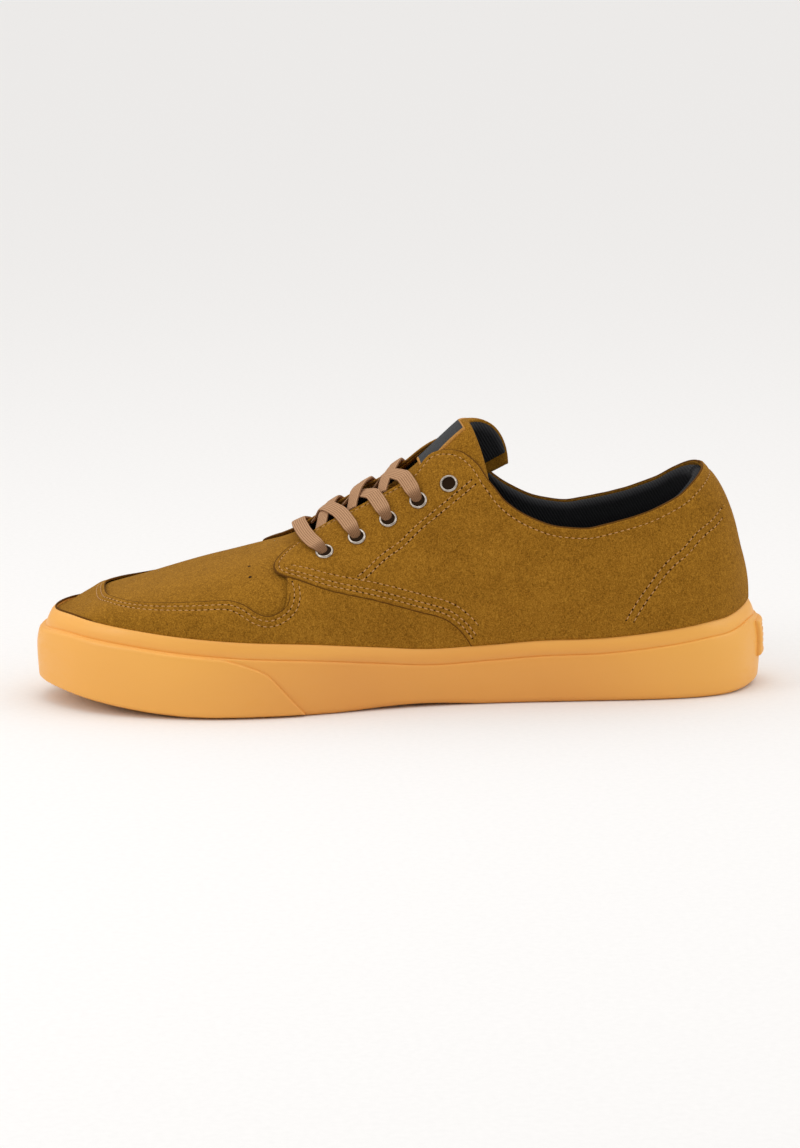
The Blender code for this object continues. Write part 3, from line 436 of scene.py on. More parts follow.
class Sock:
    """A node's output in an expression. Its operators add Math nodes."""

    def __init__(self, net: "Net", socket: bpy.types.NodeSocket) -> None:
        """Wrap a socket of one material."""
        self.net = net
        self.socket = socket

    def __add__(self, other: "Sock | float") -> "Sock":
        """Add."""
        return self.net.math("ADD", self, other)

    def __radd__(self, other: float) -> "Sock":
        """Add to a number."""
        return self.net.math("ADD", other, self)

    def __sub__(self, other: "Sock | float") -> "Sock":
        """Take away."""
        return self.net.math("SUBTRACT", self, other)

    def __rsub__(self, other: float) -> "Sock":
        """Take away from a number."""
        return self.net.math("SUBTRACT", other, self)

    def __mul__(self, other: "Sock | float") -> "Sock":
        """Multiply."""
        return self.net.math("MULTIPLY", self, other)

    def __rmul__(self, other: float) -> "Sock":
        """Multiply a number."""
        return self.net.math("MULTIPLY", other, self)

    def __pow__(self, other: float) -> "Sock":
        """Raise to a power."""
        return self.net.math("POWER", self, other)

    def __abs__(self) -> "Sock":
        """Drop the sign."""
        return self.net.math("ABSOLUTE", self)

    def sine(self) -> "Sock":
        """The sine."""
        return self.net.math("SINE", self)

    def step(self, start: float, finish: float) -> "Sock":
        """A soft step from 0 at start to 1 at finish."""
        return self.net.add(
            "ShaderNodeMapRange", {"interpolation_type": "SMOOTHSTEP"},
            {"Value": self, "From Min": start, "From Max": finish, "To Min": 0.0, "To Max": 1.0})


Value = Sock | float


class Net:
    """A material's nodes, built from Python expressions."""

    def __init__(self, name: str) -> None:
        """Make an empty material with one Principled shader."""
        self.material = bpy.data.materials.new(name)
        self.material.use_nodes = True
        self.tree = self.material.node_tree
        self.shader = self.tree.nodes["Principled BSDF"]

    def add(self, kind: str, settings: dict, inputs: dict, output: int | str = 0) -> Sock:
        """Add a node.

        Args:
            kind: The node's type.
            settings: Its properties, set first. A list of stops goes to a ramp.
            inputs: Values or links of its sockets, by name or number.
            output: The output to return.

        Returns:
            That output, wrapped.
        """
        node = self.tree.nodes.new(kind)
        for name, value in settings.items():
            if name == "stops":
                self.set_stops(node.color_ramp, value)
            else:
                setattr(node, name, value)
        for name, value in inputs.items():
            self.plug(node.inputs[name], value)
        return Sock(self, node.outputs[output])

    def set_stops(self, ramp_curve: bpy.types.ColorRamp, stops: Sequence[tuple]) -> None:
        """Give a ramp its stops.

        Args:
            ramp_curve: The ramp.
            stops: Places and colours, from low to high.
        """
        while len(ramp_curve.elements) < len(stops):
            ramp_curve.elements.new(1.0)
        for element, (place, color) in zip(ramp_curve.elements, stops):
            element.position = place
            element.color = (*color, 1.0)

    def plug(self, target: bpy.types.NodeSocket, value: object) -> None:
        """Link a socket, or set its value.

        Args:
            target: The socket.
            value: A node's output, a colour or a number.
        """
        if isinstance(value, Sock):
            self.tree.links.new(value.socket, target)
        elif isinstance(value, tuple) and len(value) == 3 and target.type == "RGBA":
            target.default_value = (*value, 1.0)
        else:
            target.default_value = value

    def math(self, operation: str, a: Value, b: Value = 0.0) -> Sock:
        """A Math node."""
        return self.add("ShaderNodeMath", {"operation": operation}, {0: a, 1: b})

    def mix(self, factor: Value, a: object, b: object) -> Sock:
        """A colour between two."""
        return self.add("ShaderNodeMix", {"data_type": "RGBA"}, {0: factor, 6: a, 7: b}, 2)

    def place(self, scale: tuple = (1.0, 1.0, 1.0), turn: tuple = (0.0, 0.0, 0.0)) -> Sock:
        """Places on the object in metres, stretched and turned."""
        where = self.add("ShaderNodeTexCoord", {}, {}, "Object")
        return self.add("ShaderNodeMapping", {}, {"Vector": where, "Rotation": turn, "Scale": scale})

    def noise(self, scale: float, detail: float = 2.0, where: Sock | None = None,
              rough: float = 0.5, twist: float = 0.0) -> Sock:
        """Noise with scale turns a metre."""
        inputs = {"Vector": where or self.place(), "Scale": scale, "Detail": detail,
                  "Roughness": rough, "Distortion": twist}
        return self.add("ShaderNodeTexNoise", {}, inputs)

    def axis(self, where: Sock, name: str) -> Sock:
        """One coordinate of a place."""
        return self.add("ShaderNodeSeparateXYZ", {}, {0: where}, name)

    def chart(self) -> Sock:
        """The piece's own chart, along and across it."""
        return self.add("ShaderNodeUVMap", {"uv_map": "chart"}, {})

    def finish(self, color: object, roughness: Value, height: Sock | None = None,
               depth: float = 0.0001, **extra: float) -> bpy.types.Material:
        """Set the shader.

        Args:
            color: Base colour, or an expression for it.
            roughness: Roughness, or an expression for it.
            height: Relief for the bump, if any.
            depth: What a height of 1 stands for, in metres.
            extra: Constant values of other sockets, with underscores for spaces.

        Returns:
            The finished material.
        """
        self.plug(self.shader.inputs["Base Color"], color)
        self.plug(self.shader.inputs["Roughness"], roughness)
        for name, value in extra.items():
            self.plug(self.shader.inputs[name.replace("_", " ")], value)
        if height is not None:
            bump = self.add("ShaderNodeBump", {}, {"Height": height, "Distance": depth, "Strength": 1.0})
            self.plug(self.shader.inputs["Normal"], bump)
        return self.material


class Sky(Net):
    """Soft studio air that is brighter above and at both ends of the shoe."""

    def __init__(self, name: str) -> None:
        """Make an empty world."""
        self.world = bpy.data.worlds.new(name)
        self.world.use_nodes = True
        self.tree = self.world.node_tree

    def shine(self, low: float, high: float, wings: float, near: float) -> None:
        """Light the scene.

        Args:
            low: Brightness at the horizon.
            high: What is added overhead.
            wings: What is added at both ends.
            near: What is taken away on the medial side.
        """
        where = self.add("ShaderNodeTexCoord", {}, {}, "Generated")
        above = self.math("MAXIMUM", self.axis(where, "Z"), 0.0)
        front = self.math("MAXIMUM", 0.0 - self.axis(where, "Y"), 0.0)
        light = low + high * above + wings * abs(self.axis(where, "X")) - near * front * above
        panel = self.tree.nodes["Background"]
        self.plug(panel.inputs["Color"], (1.0, 0.992, 0.985))
        self.plug(panel.inputs["Strength"], light)
        bpy.context.scene.world = self.world


@dataclass(frozen=True)
class SuedeFinish:
    """Brushed suede: a soft nap that lies lighter and darker in patches."""
    name: str = "brushed_suede"
    light: tuple = (0.440, 0.204, 0.023)
    middle: tuple = (0.285, 0.126, 0.011)
    dark: tuple = (0.155, 0.061, 0.004)
    nap_scale: float = 1900.0
    fibre_scale: float = 950.0
    brush_scale: float = 70.0
    cloud_scale: float = 16.0
    relief: float = 0.00035

    def make(self) -> bpy.types.Material:
        """Build the material.

        Returns:
            The finished material.
        """
        net = Net(self.name)
        nap = net.noise(self.nap_scale, 2.0, rough=0.75)
        fibre = net.noise(self.fibre_scale, 3.0, net.place((1.0, 0.8, 0.65)), 0.7, 0.8)
        brushed = net.noise(self.brush_scale, 3.0, net.place((0.8, 1.0, 1.0)), 0.55, 1.0)
        wide = net.noise(self.cloud_scale, 2.0)
        tone = 0.54 * nap + 0.30 * fibre + 0.10 * brushed + 0.06 * wide
        stops = [(0.38, self.dark), (0.50, self.middle), (0.62, self.light)]
        color = net.add("ShaderNodeValToRGB", {"stops": stops}, {0: tone})
        height = 0.55 * nap + 0.45 * fibre
        return net.finish(color, 0.95, height, self.relief, Sheen_Weight=0.10, Sheen_Roughness=0.5,
                          Sheen_Tint=(0.95, 0.60, 0.20, 1.0), Specular_IOR_Level=0.06)


@dataclass(frozen=True)
class GumFinish:
    """Natural gum rubber, a little cloudy, with a soft sheen and faint scuffs, and painted light that makes
    the toe and heel ends and the top band paler.
    """
    name: str = "gum_rubber"
    light: tuple = (0.900, 0.445, 0.084)
    dark: tuple = (0.750, 0.315, 0.060)
    cloud_scale: float = 12.0
    grain_scale: float = 1800.0
    scuff_scale: float = 160.0
    waist: float = 0.015
    # Spans of the painted light: paler towards the toe and heel, and along the top band.
    lit_ends_reach: tuple[float, float] = (0.035, 0.125)
    lit_band_reach: tuple[float, float] = (0.019, 0.027)
    relief: float = 0.00005

    def make(self) -> bpy.types.Material:
        """Build the material.

        Returns:
            The finished material.
        """
        net = Net(self.name)
        cloud = net.noise(self.cloud_scale, 2.0, net.place((0.6, 1.0, 1.4)), 0.5)
        grain = net.noise(self.grain_scale, 2.0)
        scuff = net.noise(self.scuff_scale, 4.0, net.place((0.35, 1.0, 2.2)), 0.7, 0.5)
        # Painted light: the toe and heel ends and the top band are painted paler where the side lamps and the
        # rounded lip catch light; pale holds that painted light.
        ends = abs(net.axis(net.place(), "X") - self.waist).step(*self.lit_ends_reach)
        band = net.axis(net.place(), "Z").step(*self.lit_band_reach)
        pale = net.math("MAXIMUM", ends, 0.75 * band)
        color = net.mix(0.25 * cloud.step(0.35, 0.68) + 0.75 * pale, self.dark, self.light)
        roughness = 0.38 + 0.16 * scuff.step(0.45, 0.7) + 0.04 * grain
        height = 0.5 * grain + 0.5 * scuff
        return net.finish(color, roughness, height, self.relief, Specular_IOR_Level=0.45)


@dataclass(frozen=True)
class LiningFinish:
    """Black lining cloth with slanting ribs over foam."""
    name: str = "ribbed_lining"
    yarn: tuple = (0.020, 0.020, 0.022)
    gap: tuple = (0.004, 0.004, 0.005)
    pitch: float = 0.0011
    slant: float = 32.0
    cross_share: float = 0.6
    fuzz_scale: float = 3000.0
    relief: float = 0.00018

    def make(self) -> bpy.types.Material:
        """Build the material.

        Returns:
            The finished material.
        """
        net = Net(self.name)
        where = net.place(turn=(0.0, math.radians(self.slant), 0.0))
        ribs = (net.axis(where, "X") * (2.0 * math.pi / self.pitch)).sine() * 0.5 + 0.5
        cross_pitch = self.pitch * self.cross_share
        cross = (net.axis(where, "Z") * (2.0 * math.pi / cross_pitch)).sine() * 0.5 + 0.5
        fuzz = net.noise(self.fuzz_scale, 2.0)
        weave = ribs * (0.75 + 0.25 * cross)
        color = net.mix(weave * 0.8 + fuzz * 0.2, self.gap, self.yarn)
        return net.finish(color, 0.85, weave + 0.3 * fuzz, self.relief, Specular_IOR_Level=0.3)


@dataclass(frozen=True)
class LaceFinish:
    """Flat woven cotton with ribs along its length."""
    name: str = "flat_lace"
    light: tuple = (0.600, 0.345, 0.190)
    dark: tuple = (0.170, 0.078, 0.034)
    ribs: float = 7.0
    picks: float = 900.0
    # How long the darker stretch at the start of each lace is, and how far it fades out.
    dark_end_length: float = 0.0065
    dark_end_fade: float = 0.004
    fuzz_scale: float = 2500.0
    relief: float = 0.00025

    def make(self) -> bpy.types.Material:
        """Build the material.

        Returns:
            The finished material.
        """
        net = Net(self.name)
        chart = net.chart()
        along = net.axis(chart, "X")
        across = net.axis(chart, "Y")
        rib = abs((across * (math.pi * self.ribs)).sine())
        slant = along * (2.0 * math.pi * self.picks) + across * (2.0 * math.pi * self.ribs)
        pick = slant.sine() * 0.5 + 0.5
        fuzz = net.noise(self.fuzz_scale, 3.0)
        weave = (rib ** 0.6) * (0.72 + 0.28 * pick)
        # Darker over the first few millimetres of each lace, by the eyelet it starts from.
        end_darkening = 0.30 + 0.70 * along.step(self.dark_end_length - self.dark_end_fade, self.dark_end_length)
        color = net.mix((weave * 0.75 + fuzz * 0.35) * end_darkening, self.dark, self.light)
        return net.finish(color, 0.88, weave + 0.3 * fuzz, self.relief, Specular_IOR_Level=0.1)


@dataclass(frozen=True)
class ThreadFinish:
    """Twisted sewing thread."""
    name: str = "cream_thread"
    light: tuple = (0.66, 0.36, 0.13)
    dark: tuple = (0.42, 0.20, 0.06)
    twist_scale: float = 3200.0
    relief: float = 0.0001

    def make(self) -> bpy.types.Material:
        """Build the material.

        Returns:
            The finished material.
        """
        net = Net(self.name)
        twist = net.noise(self.twist_scale, 2.0)
        return net.finish(net.mix(twist, self.dark, self.light), 0.6, twist, self.relief)


@dataclass(frozen=True)
class LabelFinish:
    """Plain grey woven patch with a plain sewn border."""
    name: str = "woven_patch"
    cloth: tuple = (0.052, 0.054, 0.058)
    border: tuple = (0.74, 0.34, 0.06)
    border_share: float = 0.045
    end_share: float = 0.036
    border_edge: float = 0.01
    warp: float = 260.0
    weft: float = 300.0
    relief: float = 0.0002

    def make(self) -> bpy.types.Material:
        """Build the material.

        Returns:
            The finished material.
        """
        net = Net(self.name)
        chart = net.chart()
        along = net.axis(chart, "X")
        across = net.axis(chart, "Y")
        weave = (along * self.warp).sine() * (across * self.weft).sine() * 0.5 + 0.5
        from_side = 0.5 - self.border_share
        from_end = 0.5 - self.end_share
        side = abs(across - 0.5).step(from_side, from_side + self.border_edge)
        end = abs(along - 0.5).step(from_end, from_end + self.border_edge)
        mask = net.math("MAXIMUM", side, end)
        cloth = net.mix(weave, tuple(0.5 * c for c in self.cloth), self.cloth)
        edge = net.mix(weave, tuple(0.6 * c for c in self.border), self.border)
        return net.finish(net.mix(mask, cloth, edge), 0.85, weave + 0.8 * mask, self.relief)


@dataclass(frozen=True)
class MetalFinish:
    """Antique silver plate, darker in random patches."""
    name: str = "antique_metal"
    light: tuple = (0.56, 0.51, 0.45)
    dark: tuple = (0.34, 0.29, 0.24)
    wear_scale: float = 500.0
    relief: float = 0.00001

    def make(self) -> bpy.types.Material:
        """Build the material.

        Returns:
            The finished material.
        """
        net = Net(self.name)
        wear = net.noise(self.wear_scale, 2.0)
        color = net.mix(wear.step(0.3, 0.7), self.dark, self.light)
        return net.finish(color, 0.26 + 0.1 * wear, wear, self.relief, Metallic=1.0)


@dataclass(frozen=True)
class PlainFinish:
    """A quiet surface, such as the painted shade in a hole's depth, or the floor."""
    name: str
    color: tuple
    roughness: float = 0.9
    gloss: float = 0.1
    shade: float = 0.94
    grain_scale: float = 400.0
    relief: float = 0.00002

    def make(self) -> bpy.types.Material:
        """Build the material.

        Returns:
            The finished material.
        """
        net = Net(self.name)
        grain = net.noise(self.grain_scale, 2.0)
        tint = tuple(self.shade * c for c in self.color)
        return net.finish(net.mix(grain, tint, self.color), self.roughness, grain, self.relief,
                          Specular_IOR_Level=self.gloss)


@dataclass
class Wardrobe:
    """All the shoe's finishes, made once."""
    suede: bpy.types.Material = field(default_factory=lambda: SuedeFinish().make())
    gum: bpy.types.Material = field(default_factory=lambda: GumFinish().make())
    lining: bpy.types.Material = field(default_factory=lambda: LiningFinish().make())
    lace: bpy.types.Material = field(default_factory=lambda: LaceFinish().make())
    thread: bpy.types.Material = field(default_factory=lambda: ThreadFinish().make())
    label: bpy.types.Material = field(default_factory=lambda: LabelFinish().make())
    metal: bpy.types.Material = field(default_factory=lambda: MetalFinish().make())
    # Painted shade: a dark plain finish for the insides of the eyelet, needle and vent holes.
    hole: bpy.types.Material = field(
        default_factory=lambda: PlainFinish("hole_shade", (0.020, 0.009, 0.003)).make())
    # Dark brown for the cut edges, partly the darker raw hide and partly painted shade along them, and
    # painted shadow for the line in the gap above the sole.
    cut: bpy.types.Material = field(
        default_factory=lambda: PlainFinish("cut_edge", (0.120, 0.048, 0.006), 1.0).make())


def grid_faces(rows: int, columns: int, wrap: bool = False) -> list:
    """Quads of a grid whose points run along its rows.

    Args:
        rows: How many rows it has.
        columns: How many points each row has.
        wrap: Whether the last column joins the first.

    Returns:
        The faces, as numbers of points.
    """
    last = columns if wrap else columns - 1
    faces = []
    for i in range(rows - 1):
        for j in range(last):
            k = (j + 1) % columns
            faces.append((i * columns + j, i * columns + k, (i + 1) * columns + k, (i + 1) * columns + j))
    return faces


def tube_faces(rows: int, sides: int) -> list:
    """Faces of a tube made of rings, with both its ends closed."""
    last = (rows - 1) * sides
    ends = [tuple(range(sides)), tuple(last + k for k in range(sides))]
    return grid_faces(rows, sides, wrap=True) + ends


def stack_faces(rows: int, count: int) -> list:
    """Faces of a stack of rings round the plan, with quads across its first and last ring.

    Args:
        rows: How many rings it has.
        count: How many points each ring has.

    Returns:
        The faces, as numbers of points.
    """
    faces = grid_faces(rows, count, wrap=True)
    for start in (0, (rows - 1) * count):
        for i in range(count // 2):
            quad = [i, i + 1, (count - i - 1) % count, (count - i) % count]
            faces.append(tuple(start + k for k in dict.fromkeys(quad)))
    return faces


def circle(sides: int) -> Points:
    """Cosines and sines of even steps round a circle, in two columns."""
    turn = np.arange(sides) * 2 * math.pi / sides
    return np.stack([np.cos(turn), np.sin(turn)], axis=-1)


def closed_sheet(top: Points, bottom: Points) -> tuple[Points, list]:
    """A closed mesh of a sheet's two faces, joined round their edges.

    Args:
        top: The outer face, as rows of columns of points.
        bottom: The inner face on the same grid.

    Returns:
        Its points and its faces, the outer face's first.
    """
    rows, columns = top.shape[:2]
    outer = grid_faces(rows, columns)
    size = rows * columns
    inner = [tuple(size + k for k in reversed(face)) for face in outer]
    ring = list(range(columns))
    ring += [i * columns + columns - 1 for i in range(1, rows)]
    ring += [(rows - 1) * columns + j for j in range(columns - 2, -1, -1)]
    ring += [i * columns for i in range(rows - 2, 0, -1)]
    hem = [(b, a, size + a, size + b) for a, b in zip(ring, ring[1:] + ring[:1])]
    points = np.concatenate([top.reshape(-1, 3), bottom.reshape(-1, 3)])
    return points, outer + inner + hem


@dataclass
class Maker:
    """Turns points and faces into dressed pieces that ride on the shoe."""
    count: int = 0

    def piece(self, name: str, points: Points, faces: Sequence, material: bpy.types.Material,
              slot: str, stands_for: Sequence[str] = (), chart: Points | None = None,
              sharp: float = 50.0) -> bpy.types.Object:
        """Make one piece.

        Args:
            name: The piece's name.
            points: Its points in metres, in rows.
            faces: Its faces, as numbers of points.
            material: Its finish.
            slot: The material slot's name; not used.
            stands_for: The CAD nodes that it replaces.
            chart: Places along and across it, one for each point.
            sharp: Edges steeper than this many degrees stay sharp.

        Returns:
            The piece.
        """
        mesh = bpy.data.meshes.new(name)
        mesh.from_pydata(np.asarray(points).reshape(-1, 3).tolist(), [], [tuple(f) for f in faces])
        mesh.validate()
        if chart is not None:
            layer = mesh.uv_layers.new(name="chart")
            index = np.empty(len(mesh.loops), dtype=int)
            mesh.loops.foreach_get("vertex_index", index)
            layer.data.foreach_set("uv", chart.reshape(-1, 2)[index].astype(np.float32).ravel())
        bm = bmesh.new()
        bm.from_mesh(mesh)
        bmesh.ops.remove_doubles(bm, verts=bm.verts, dist=MERGE_REACH)
        bmesh.ops.recalc_face_normals(bm, faces=bm.faces)
        bm.to_mesh(mesh)
        bm.free()
        mesh.shade_smooth()
        mesh.set_sharp_from_angle(angle=math.radians(sharp))
        mesh.materials.append(material)
        made = bpy.data.objects.new(name, mesh)
        bpy.context.scene.collection.objects.link(made)
        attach(made, "root")
        if stands_for:
            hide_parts(*stands_for)
        self.count += 1
        log.info("%s: %d faces", name, len(mesh.polygons))
        return made


def edge_lift(points: Points, edges: Sequence[Points], wall: float, radius: float) -> Points:
    """Thickness of a panel whose cut edges are rounded over.

    Args:
        points: The panel's points in rows of columns.
        edges: Its free edges, as lines of points.
        wall: The full thickness.
        radius: How far from an edge the full thickness starts.

    Returns:
        The thickness at each point.
    """
    line = np.concatenate([even(edge, max(int(reach_of(edge) / EDGE_STEP), 2)) for edge in edges])
    near = KDTree(len(line))
    for i, spot in enumerate(line):
        near.insert(spot, i)
    near.balance()
    gaps = np.array([near.find(point)[2] for point in points.reshape(-1, 3)])
    s = np.clip(gaps / radius, 0.0, 1.0)
    return (wall * np.sqrt(1.0 - (1.0 - s) ** 2)).reshape(points.shape[:-1])


def edge_shares(height: Points, rows: int, near: Sequence[float]) -> Points:
    """Shares of each column's height for its rows, close together at both ends.

    Args:
        height: The columns' heights.
        rows: How many rows lie between the close ones.
        near: Distances of the close rows from an end, in metres.

    Returns:
        Rows of shares, one column for each height.
    """
    step = 0.35 / (rows + len(near))
    start = np.minimum(np.array(near)[:, None] / height[None, :], step * np.arange(len(near))[:, None])
    first = start[-1]
    between = np.linspace(0.0, 1.0, rows + 2)[1:-1, None]
    middle = first + (1.0 - 2.0 * first) * between
    return np.concatenate([start, middle, 1.0 - start[::-1]])


class Crease(NamedTuple):
    """A soft trough, or a ridge where its depth is negative, between two points in millimetres."""
    start: tuple[float, float, float]
    end: tuple[float, float, float]
    width: float
    depth: float


@dataclass
class Upper:
    """The suede upper: vamp, mudguard and quarters, laid on the last with real thickness."""
    last: Last
    maker: Maker
    wardrobe: Wardrobe
    panels: "Panels"
    vamp_lift: float = -0.0016
    vamp_wall: float = 0.0016
    vamp_span: tuple[float, float] = (0.012, 0.362)
    mudguard_lift: float = 0.0003
    mudguard_wall: float = 0.0009
    mudguard_rows: int = 26
    mudguard_end: float = 0.027
    mudguard_tuck: tuple[float, float, float] = (0.0025, 0.0, 0.0012)
    quarter_lift: float = 0.0003
    quarter_wall: float = 0.0016
    quarter_rows: int = 54
    quarter_foot: float = 0.0246
    foot_drop: float = 0.0015
    edge_radius: float = 0.0006
    seat: float = 0.0002
    tuck: float = 0.0011
    clear: float = 0.0004
    pull: float = 0.00045
    pull_reach: float = 0.0008
    # Radius, outward shift and rise of the line of painted shadow in the gap above the sole.
    hem: float = 0.00045
    gap_shade_out: float = 0.0003
    gap_shade_rise: float = 0.0002
    # Height, radius and sides of the dark tubes along the cut edges, partly raw hide and partly painted
    # shade.
    cut_height: float = 0.36
    cut_radius: float = 0.30
    cut_sides: int = 8
    skive: float = 0.35
    skive_start: float = 0.030
    skive_full: float = 0.050
    threads: KDTree | None = None
    near_rows: Sequence[float] = (0.0, 0.00018, 0.00045, 0.0008, 0.0012)
    creases: Sequence[Crease] = (
        Crease((-47.0, -10.0, 66.0), (-57.0, -30.0, 59.0), 4.5, 0.35),
        Crease((-58.0, 6.0, 64.0), (-66.0, -18.0, 61.0), 6.0, 0.35),
        Crease((-72.0, 16.0, 60.0), (-76.0, -12.0, 60.0), 7.0, 0.30),
        Crease((-50.0, 20.0, 64.0), (-62.0, 34.0, 57.0), 5.0, 0.35),
        Crease((-30.0, -38.0, 53.0), (-14.0, -37.0, 50.0), 5.0, 0.30),
        Crease((28.0, -28.0, 82.0), (46.0, -34.0, 60.0), 6.0, 0.45),
        Crease((40.0, -30.0, 76.0), (62.0, -35.0, 58.0), 5.0, -0.25),
        Crease((28.0, 28.0, 82.0), (46.0, 34.0, 60.0), 6.0, 0.45),
        Crease((60.0, -34.0, 62.0), (84.0, -36.0, 50.0), 7.0, 0.30),
        Crease((112.0, -30.0, 74.0), (128.0, -20.0, 66.0), 8.0, 0.30))

    def relief(self, spots: Points) -> Points:
        """How far the creases move each point along the surface's normal.

        Args:
            spots: The points, in rows.

        Returns:
            The moves, on the same grid.
        """
        total = np.zeros(spots.shape[:-1])
        for crease in self.creases:
            a = np.array(crease.start) * MM
            b = np.array(crease.end) * MM
            s = np.clip(((spots - a) @ (b - a)) / ((b - a) @ (b - a)), 0.0, 1.0)
            gap = np.linalg.norm(spots - (a + s[..., None] * (b - a)), axis=-1)
            total -= crease.depth * MM * np.exp(-(gap / (crease.width * MM)) ** 2)
        return total

    def thinning(self, x: Points) -> Points:
        """Share of the full thickness that is left where the front is skived."""
        return 1.0 - self.skive * ramp(-x, self.skive_start, self.skive_full)

    def sew(self, guides: Points, edges: Sequence[Points], lift: float, wall: float) -> tuple:
        """Lay a panel on the last.

        Args:
            guides: Rows of columns of points near the form.
            edges: The panel's free edges.
            lift: Height of its underside over the form.
            wall: Its thickness.

        Returns:
            The points and faces of a closed sheet.
        """
        spots, normals = self.last.land(guides)
        landed = [self.last.land(edge)[0] for edge in edges]
        full = np.full(spots.shape[:-1], wall)
        if edges:
            full = edge_lift(spots, landed, wall, self.edge_radius)
        full = full * self.thinning(spots[..., 0])
        rim = self.last.wall_top(spots[..., 0])
        room = ramp(spots[..., 2] - rim, -self.tuck, self.clear)
        bend = self.relief(spots) - self.pull * self.trough(spots)
        top = spots + normals * ((lift + full + bend) * room + self.seat * (1.0 - room))[..., None]
        bottom = spots + normals * ((lift - self.seat + bend) * room)[..., None]
        return closed_sheet(top, bottom)

    def trough(self, spots: Points) -> Points:
        """How strongly the threads pull each point in.

        Args:
            spots: The points, in rows.

        Returns:
            Shares from 0 to 1, on the same grid.
        """
        if self.threads is None:
            rows = np.concatenate(Stitching(self.last, self.maker, self.wardrobe, self.panels).lines())
            self.threads = KDTree(len(rows))
            for i, spot in enumerate(rows):
                self.threads.insert(spot, i)
            self.threads.balance()
        gaps = np.array([self.threads.find(spot)[2] for spot in spots.reshape(-1, 3)])
        return np.exp(-(gaps / self.pull_reach) ** 2).reshape(spots.shape[:-1])

    def columns(self, low: Points, high: Points, rows: int) -> Points:
        """Rows of points between two edges with as many points each.

        Args:
            low: The lower edge.
            high: The upper edge.
            rows: How many rows lie between the close ones at both ends.

        Returns:
            The rows, from the lower edge to the upper one.
        """
        height = np.linalg.norm(high - low, axis=1)
        shares = edge_shares(np.maximum(height, 1e-5), rows, self.near_rows)
        return low[None] + (high - low)[None] * shares[..., None]

    def loop_at(self, x: float) -> float:
        """Place round the plan of the medial edge at x."""
        return float(turn_of(self.last.share(np.array(x)))) / 2

    def sole_line(self, loop: Points, side: Side, count: int) -> Points:
        """A line just under the sole's top edge.

        Args:
            loop: Places round the plan on the medial side.
            side: The side that it is for.
            count: How many points to return.

        Returns:
            The line's points in rows.
        """
        if side is Side.LATERAL:
            loop = 1.0 - loop
        foot = self.last.foot(loop, 0.0)
        height = self.last.wall_top(foot[:, 0]) - self.foot_drop
        return even(np.concatenate([foot, height[:, None]], axis=1), count)

    def quarter_edges(self, side: Side) -> tuple[Points, Points, Points]:
        """The quarter's front edge, its whole lower edge and its upper edge on one side."""
        front = Seam.QUARTER_FRONT.line(side, 150)
        sole = self.sole_line(np.linspace(self.loop_at(self.quarter_foot), 0.5, 400), side, 170)
        return front, np.concatenate([front, sole[1:]]), Seam.THROAT.line(side, 319)

    def build_quarters(self) -> None:
        """Both quarters with their eyestays, joined at the heel."""
        parts = []
        for side in Side:
            front, low, high = self.quarter_edges(side)
            guides = self.columns(low, high, self.quarter_rows)
            parts.append(self.sew(guides, [front, high], self.quarter_lift, self.quarter_wall))
        points, faces = join(parts)
        self.panels.keep(points, faces)
        self.maker.piece("quarters", points, faces, self.wardrobe.suede, "suede", ["quarter"])

    def build_mudguard(self) -> None:
        """The overlay round the toe, up to the apron's edge and under the quarters."""
        parts = []
        for side in Side:
            apron = Seam.APRON.line(side, 210)
            front = Seam.QUARTER_FRONT.line(side, 150)
            high = np.concatenate([apron, front[12:] + self.mudguard_tuck])
            loop = np.linspace(0.0, self.loop_at(self.mudguard_end), 500)
            low = self.sole_line(loop, side, len(high))
            guides = self.columns(low, high, self.mudguard_rows)
            parts.append(self.sew(guides, [apron], self.mudguard_lift, self.mudguard_wall))
        points, faces = join(parts)
        self.panels.keep(points, faces)
        self.maker.piece("mudguard", points, faces, self.wardrobe.suede, "suede", ["toe_overlay"])

    def build_vamp(self) -> None:
        """The vamp from the toe to the throat, with side wings under the quarters."""
        shares = np.linspace(*self.vamp_span, 190)
        guides = []
        for angle in np.linspace(-1.0, 1.0, 150):
            loop = turn_of(shares) / 2
            if angle > 0:
                loop = 1.0 - loop
            swing = (1.0 - abs(angle)) * math.pi / 2
            guides.append(self.last.form(loop, np.full_like(loop, swing)))
        points, faces = self.sew(np.array(guides), [], self.vamp_lift, self.vamp_wall)
        self.panels.keep(points, faces)
        self.maker.piece("vamp", points, faces, self.wardrobe.suede, "suede", ["upper"])

    def build_cut_edges(self) -> None:
        """The raw hide that shows along the panels' cut edges, darkened partly with painted shade, and a dark
        line of painted shadow in the gap above the sole.
        """
        parts = []
        walls = {Seam.QUARTER_FRONT: self.quarter_wall, Seam.APRON: self.mudguard_wall,
                 Seam.THROAT: self.quarter_wall}
        for side in Side:
            for seam, wall in walls.items():
                spots, normals = self.last.land(seam.line(side, 400))
                bend = self.relief(spots)[:, None]
                rise = self.quarter_lift + wall * self.cut_height * self.thinning(spots[:, :1]) + bend
                parts.append(tube(spots + normals * rise, wall * self.cut_radius, self.cut_sides))
        # A dark tube of painted shadow along the gap between the upper and the sole.
        foot = self.last.foot(np.linspace(0.0, 1.0, 481), self.gap_shade_out)
        height = self.last.wall_top(foot[:, 0]) + self.gap_shade_rise
        line = np.concatenate([foot, height[:, None]], axis=1)
        parts.append(tube(line, self.hem, self.cut_sides))
        points, faces = join(parts)
        self.maker.piece("cut_edges_and_gap_shade", points, faces, self.wardrobe.cut, "suede", sharp=SOFT_SHARP)

    def build(self) -> None:
        """Make every suede panel."""
        self.build_vamp()
        self.build_mudguard()
        self.build_quarters()
        self.build_cut_edges()


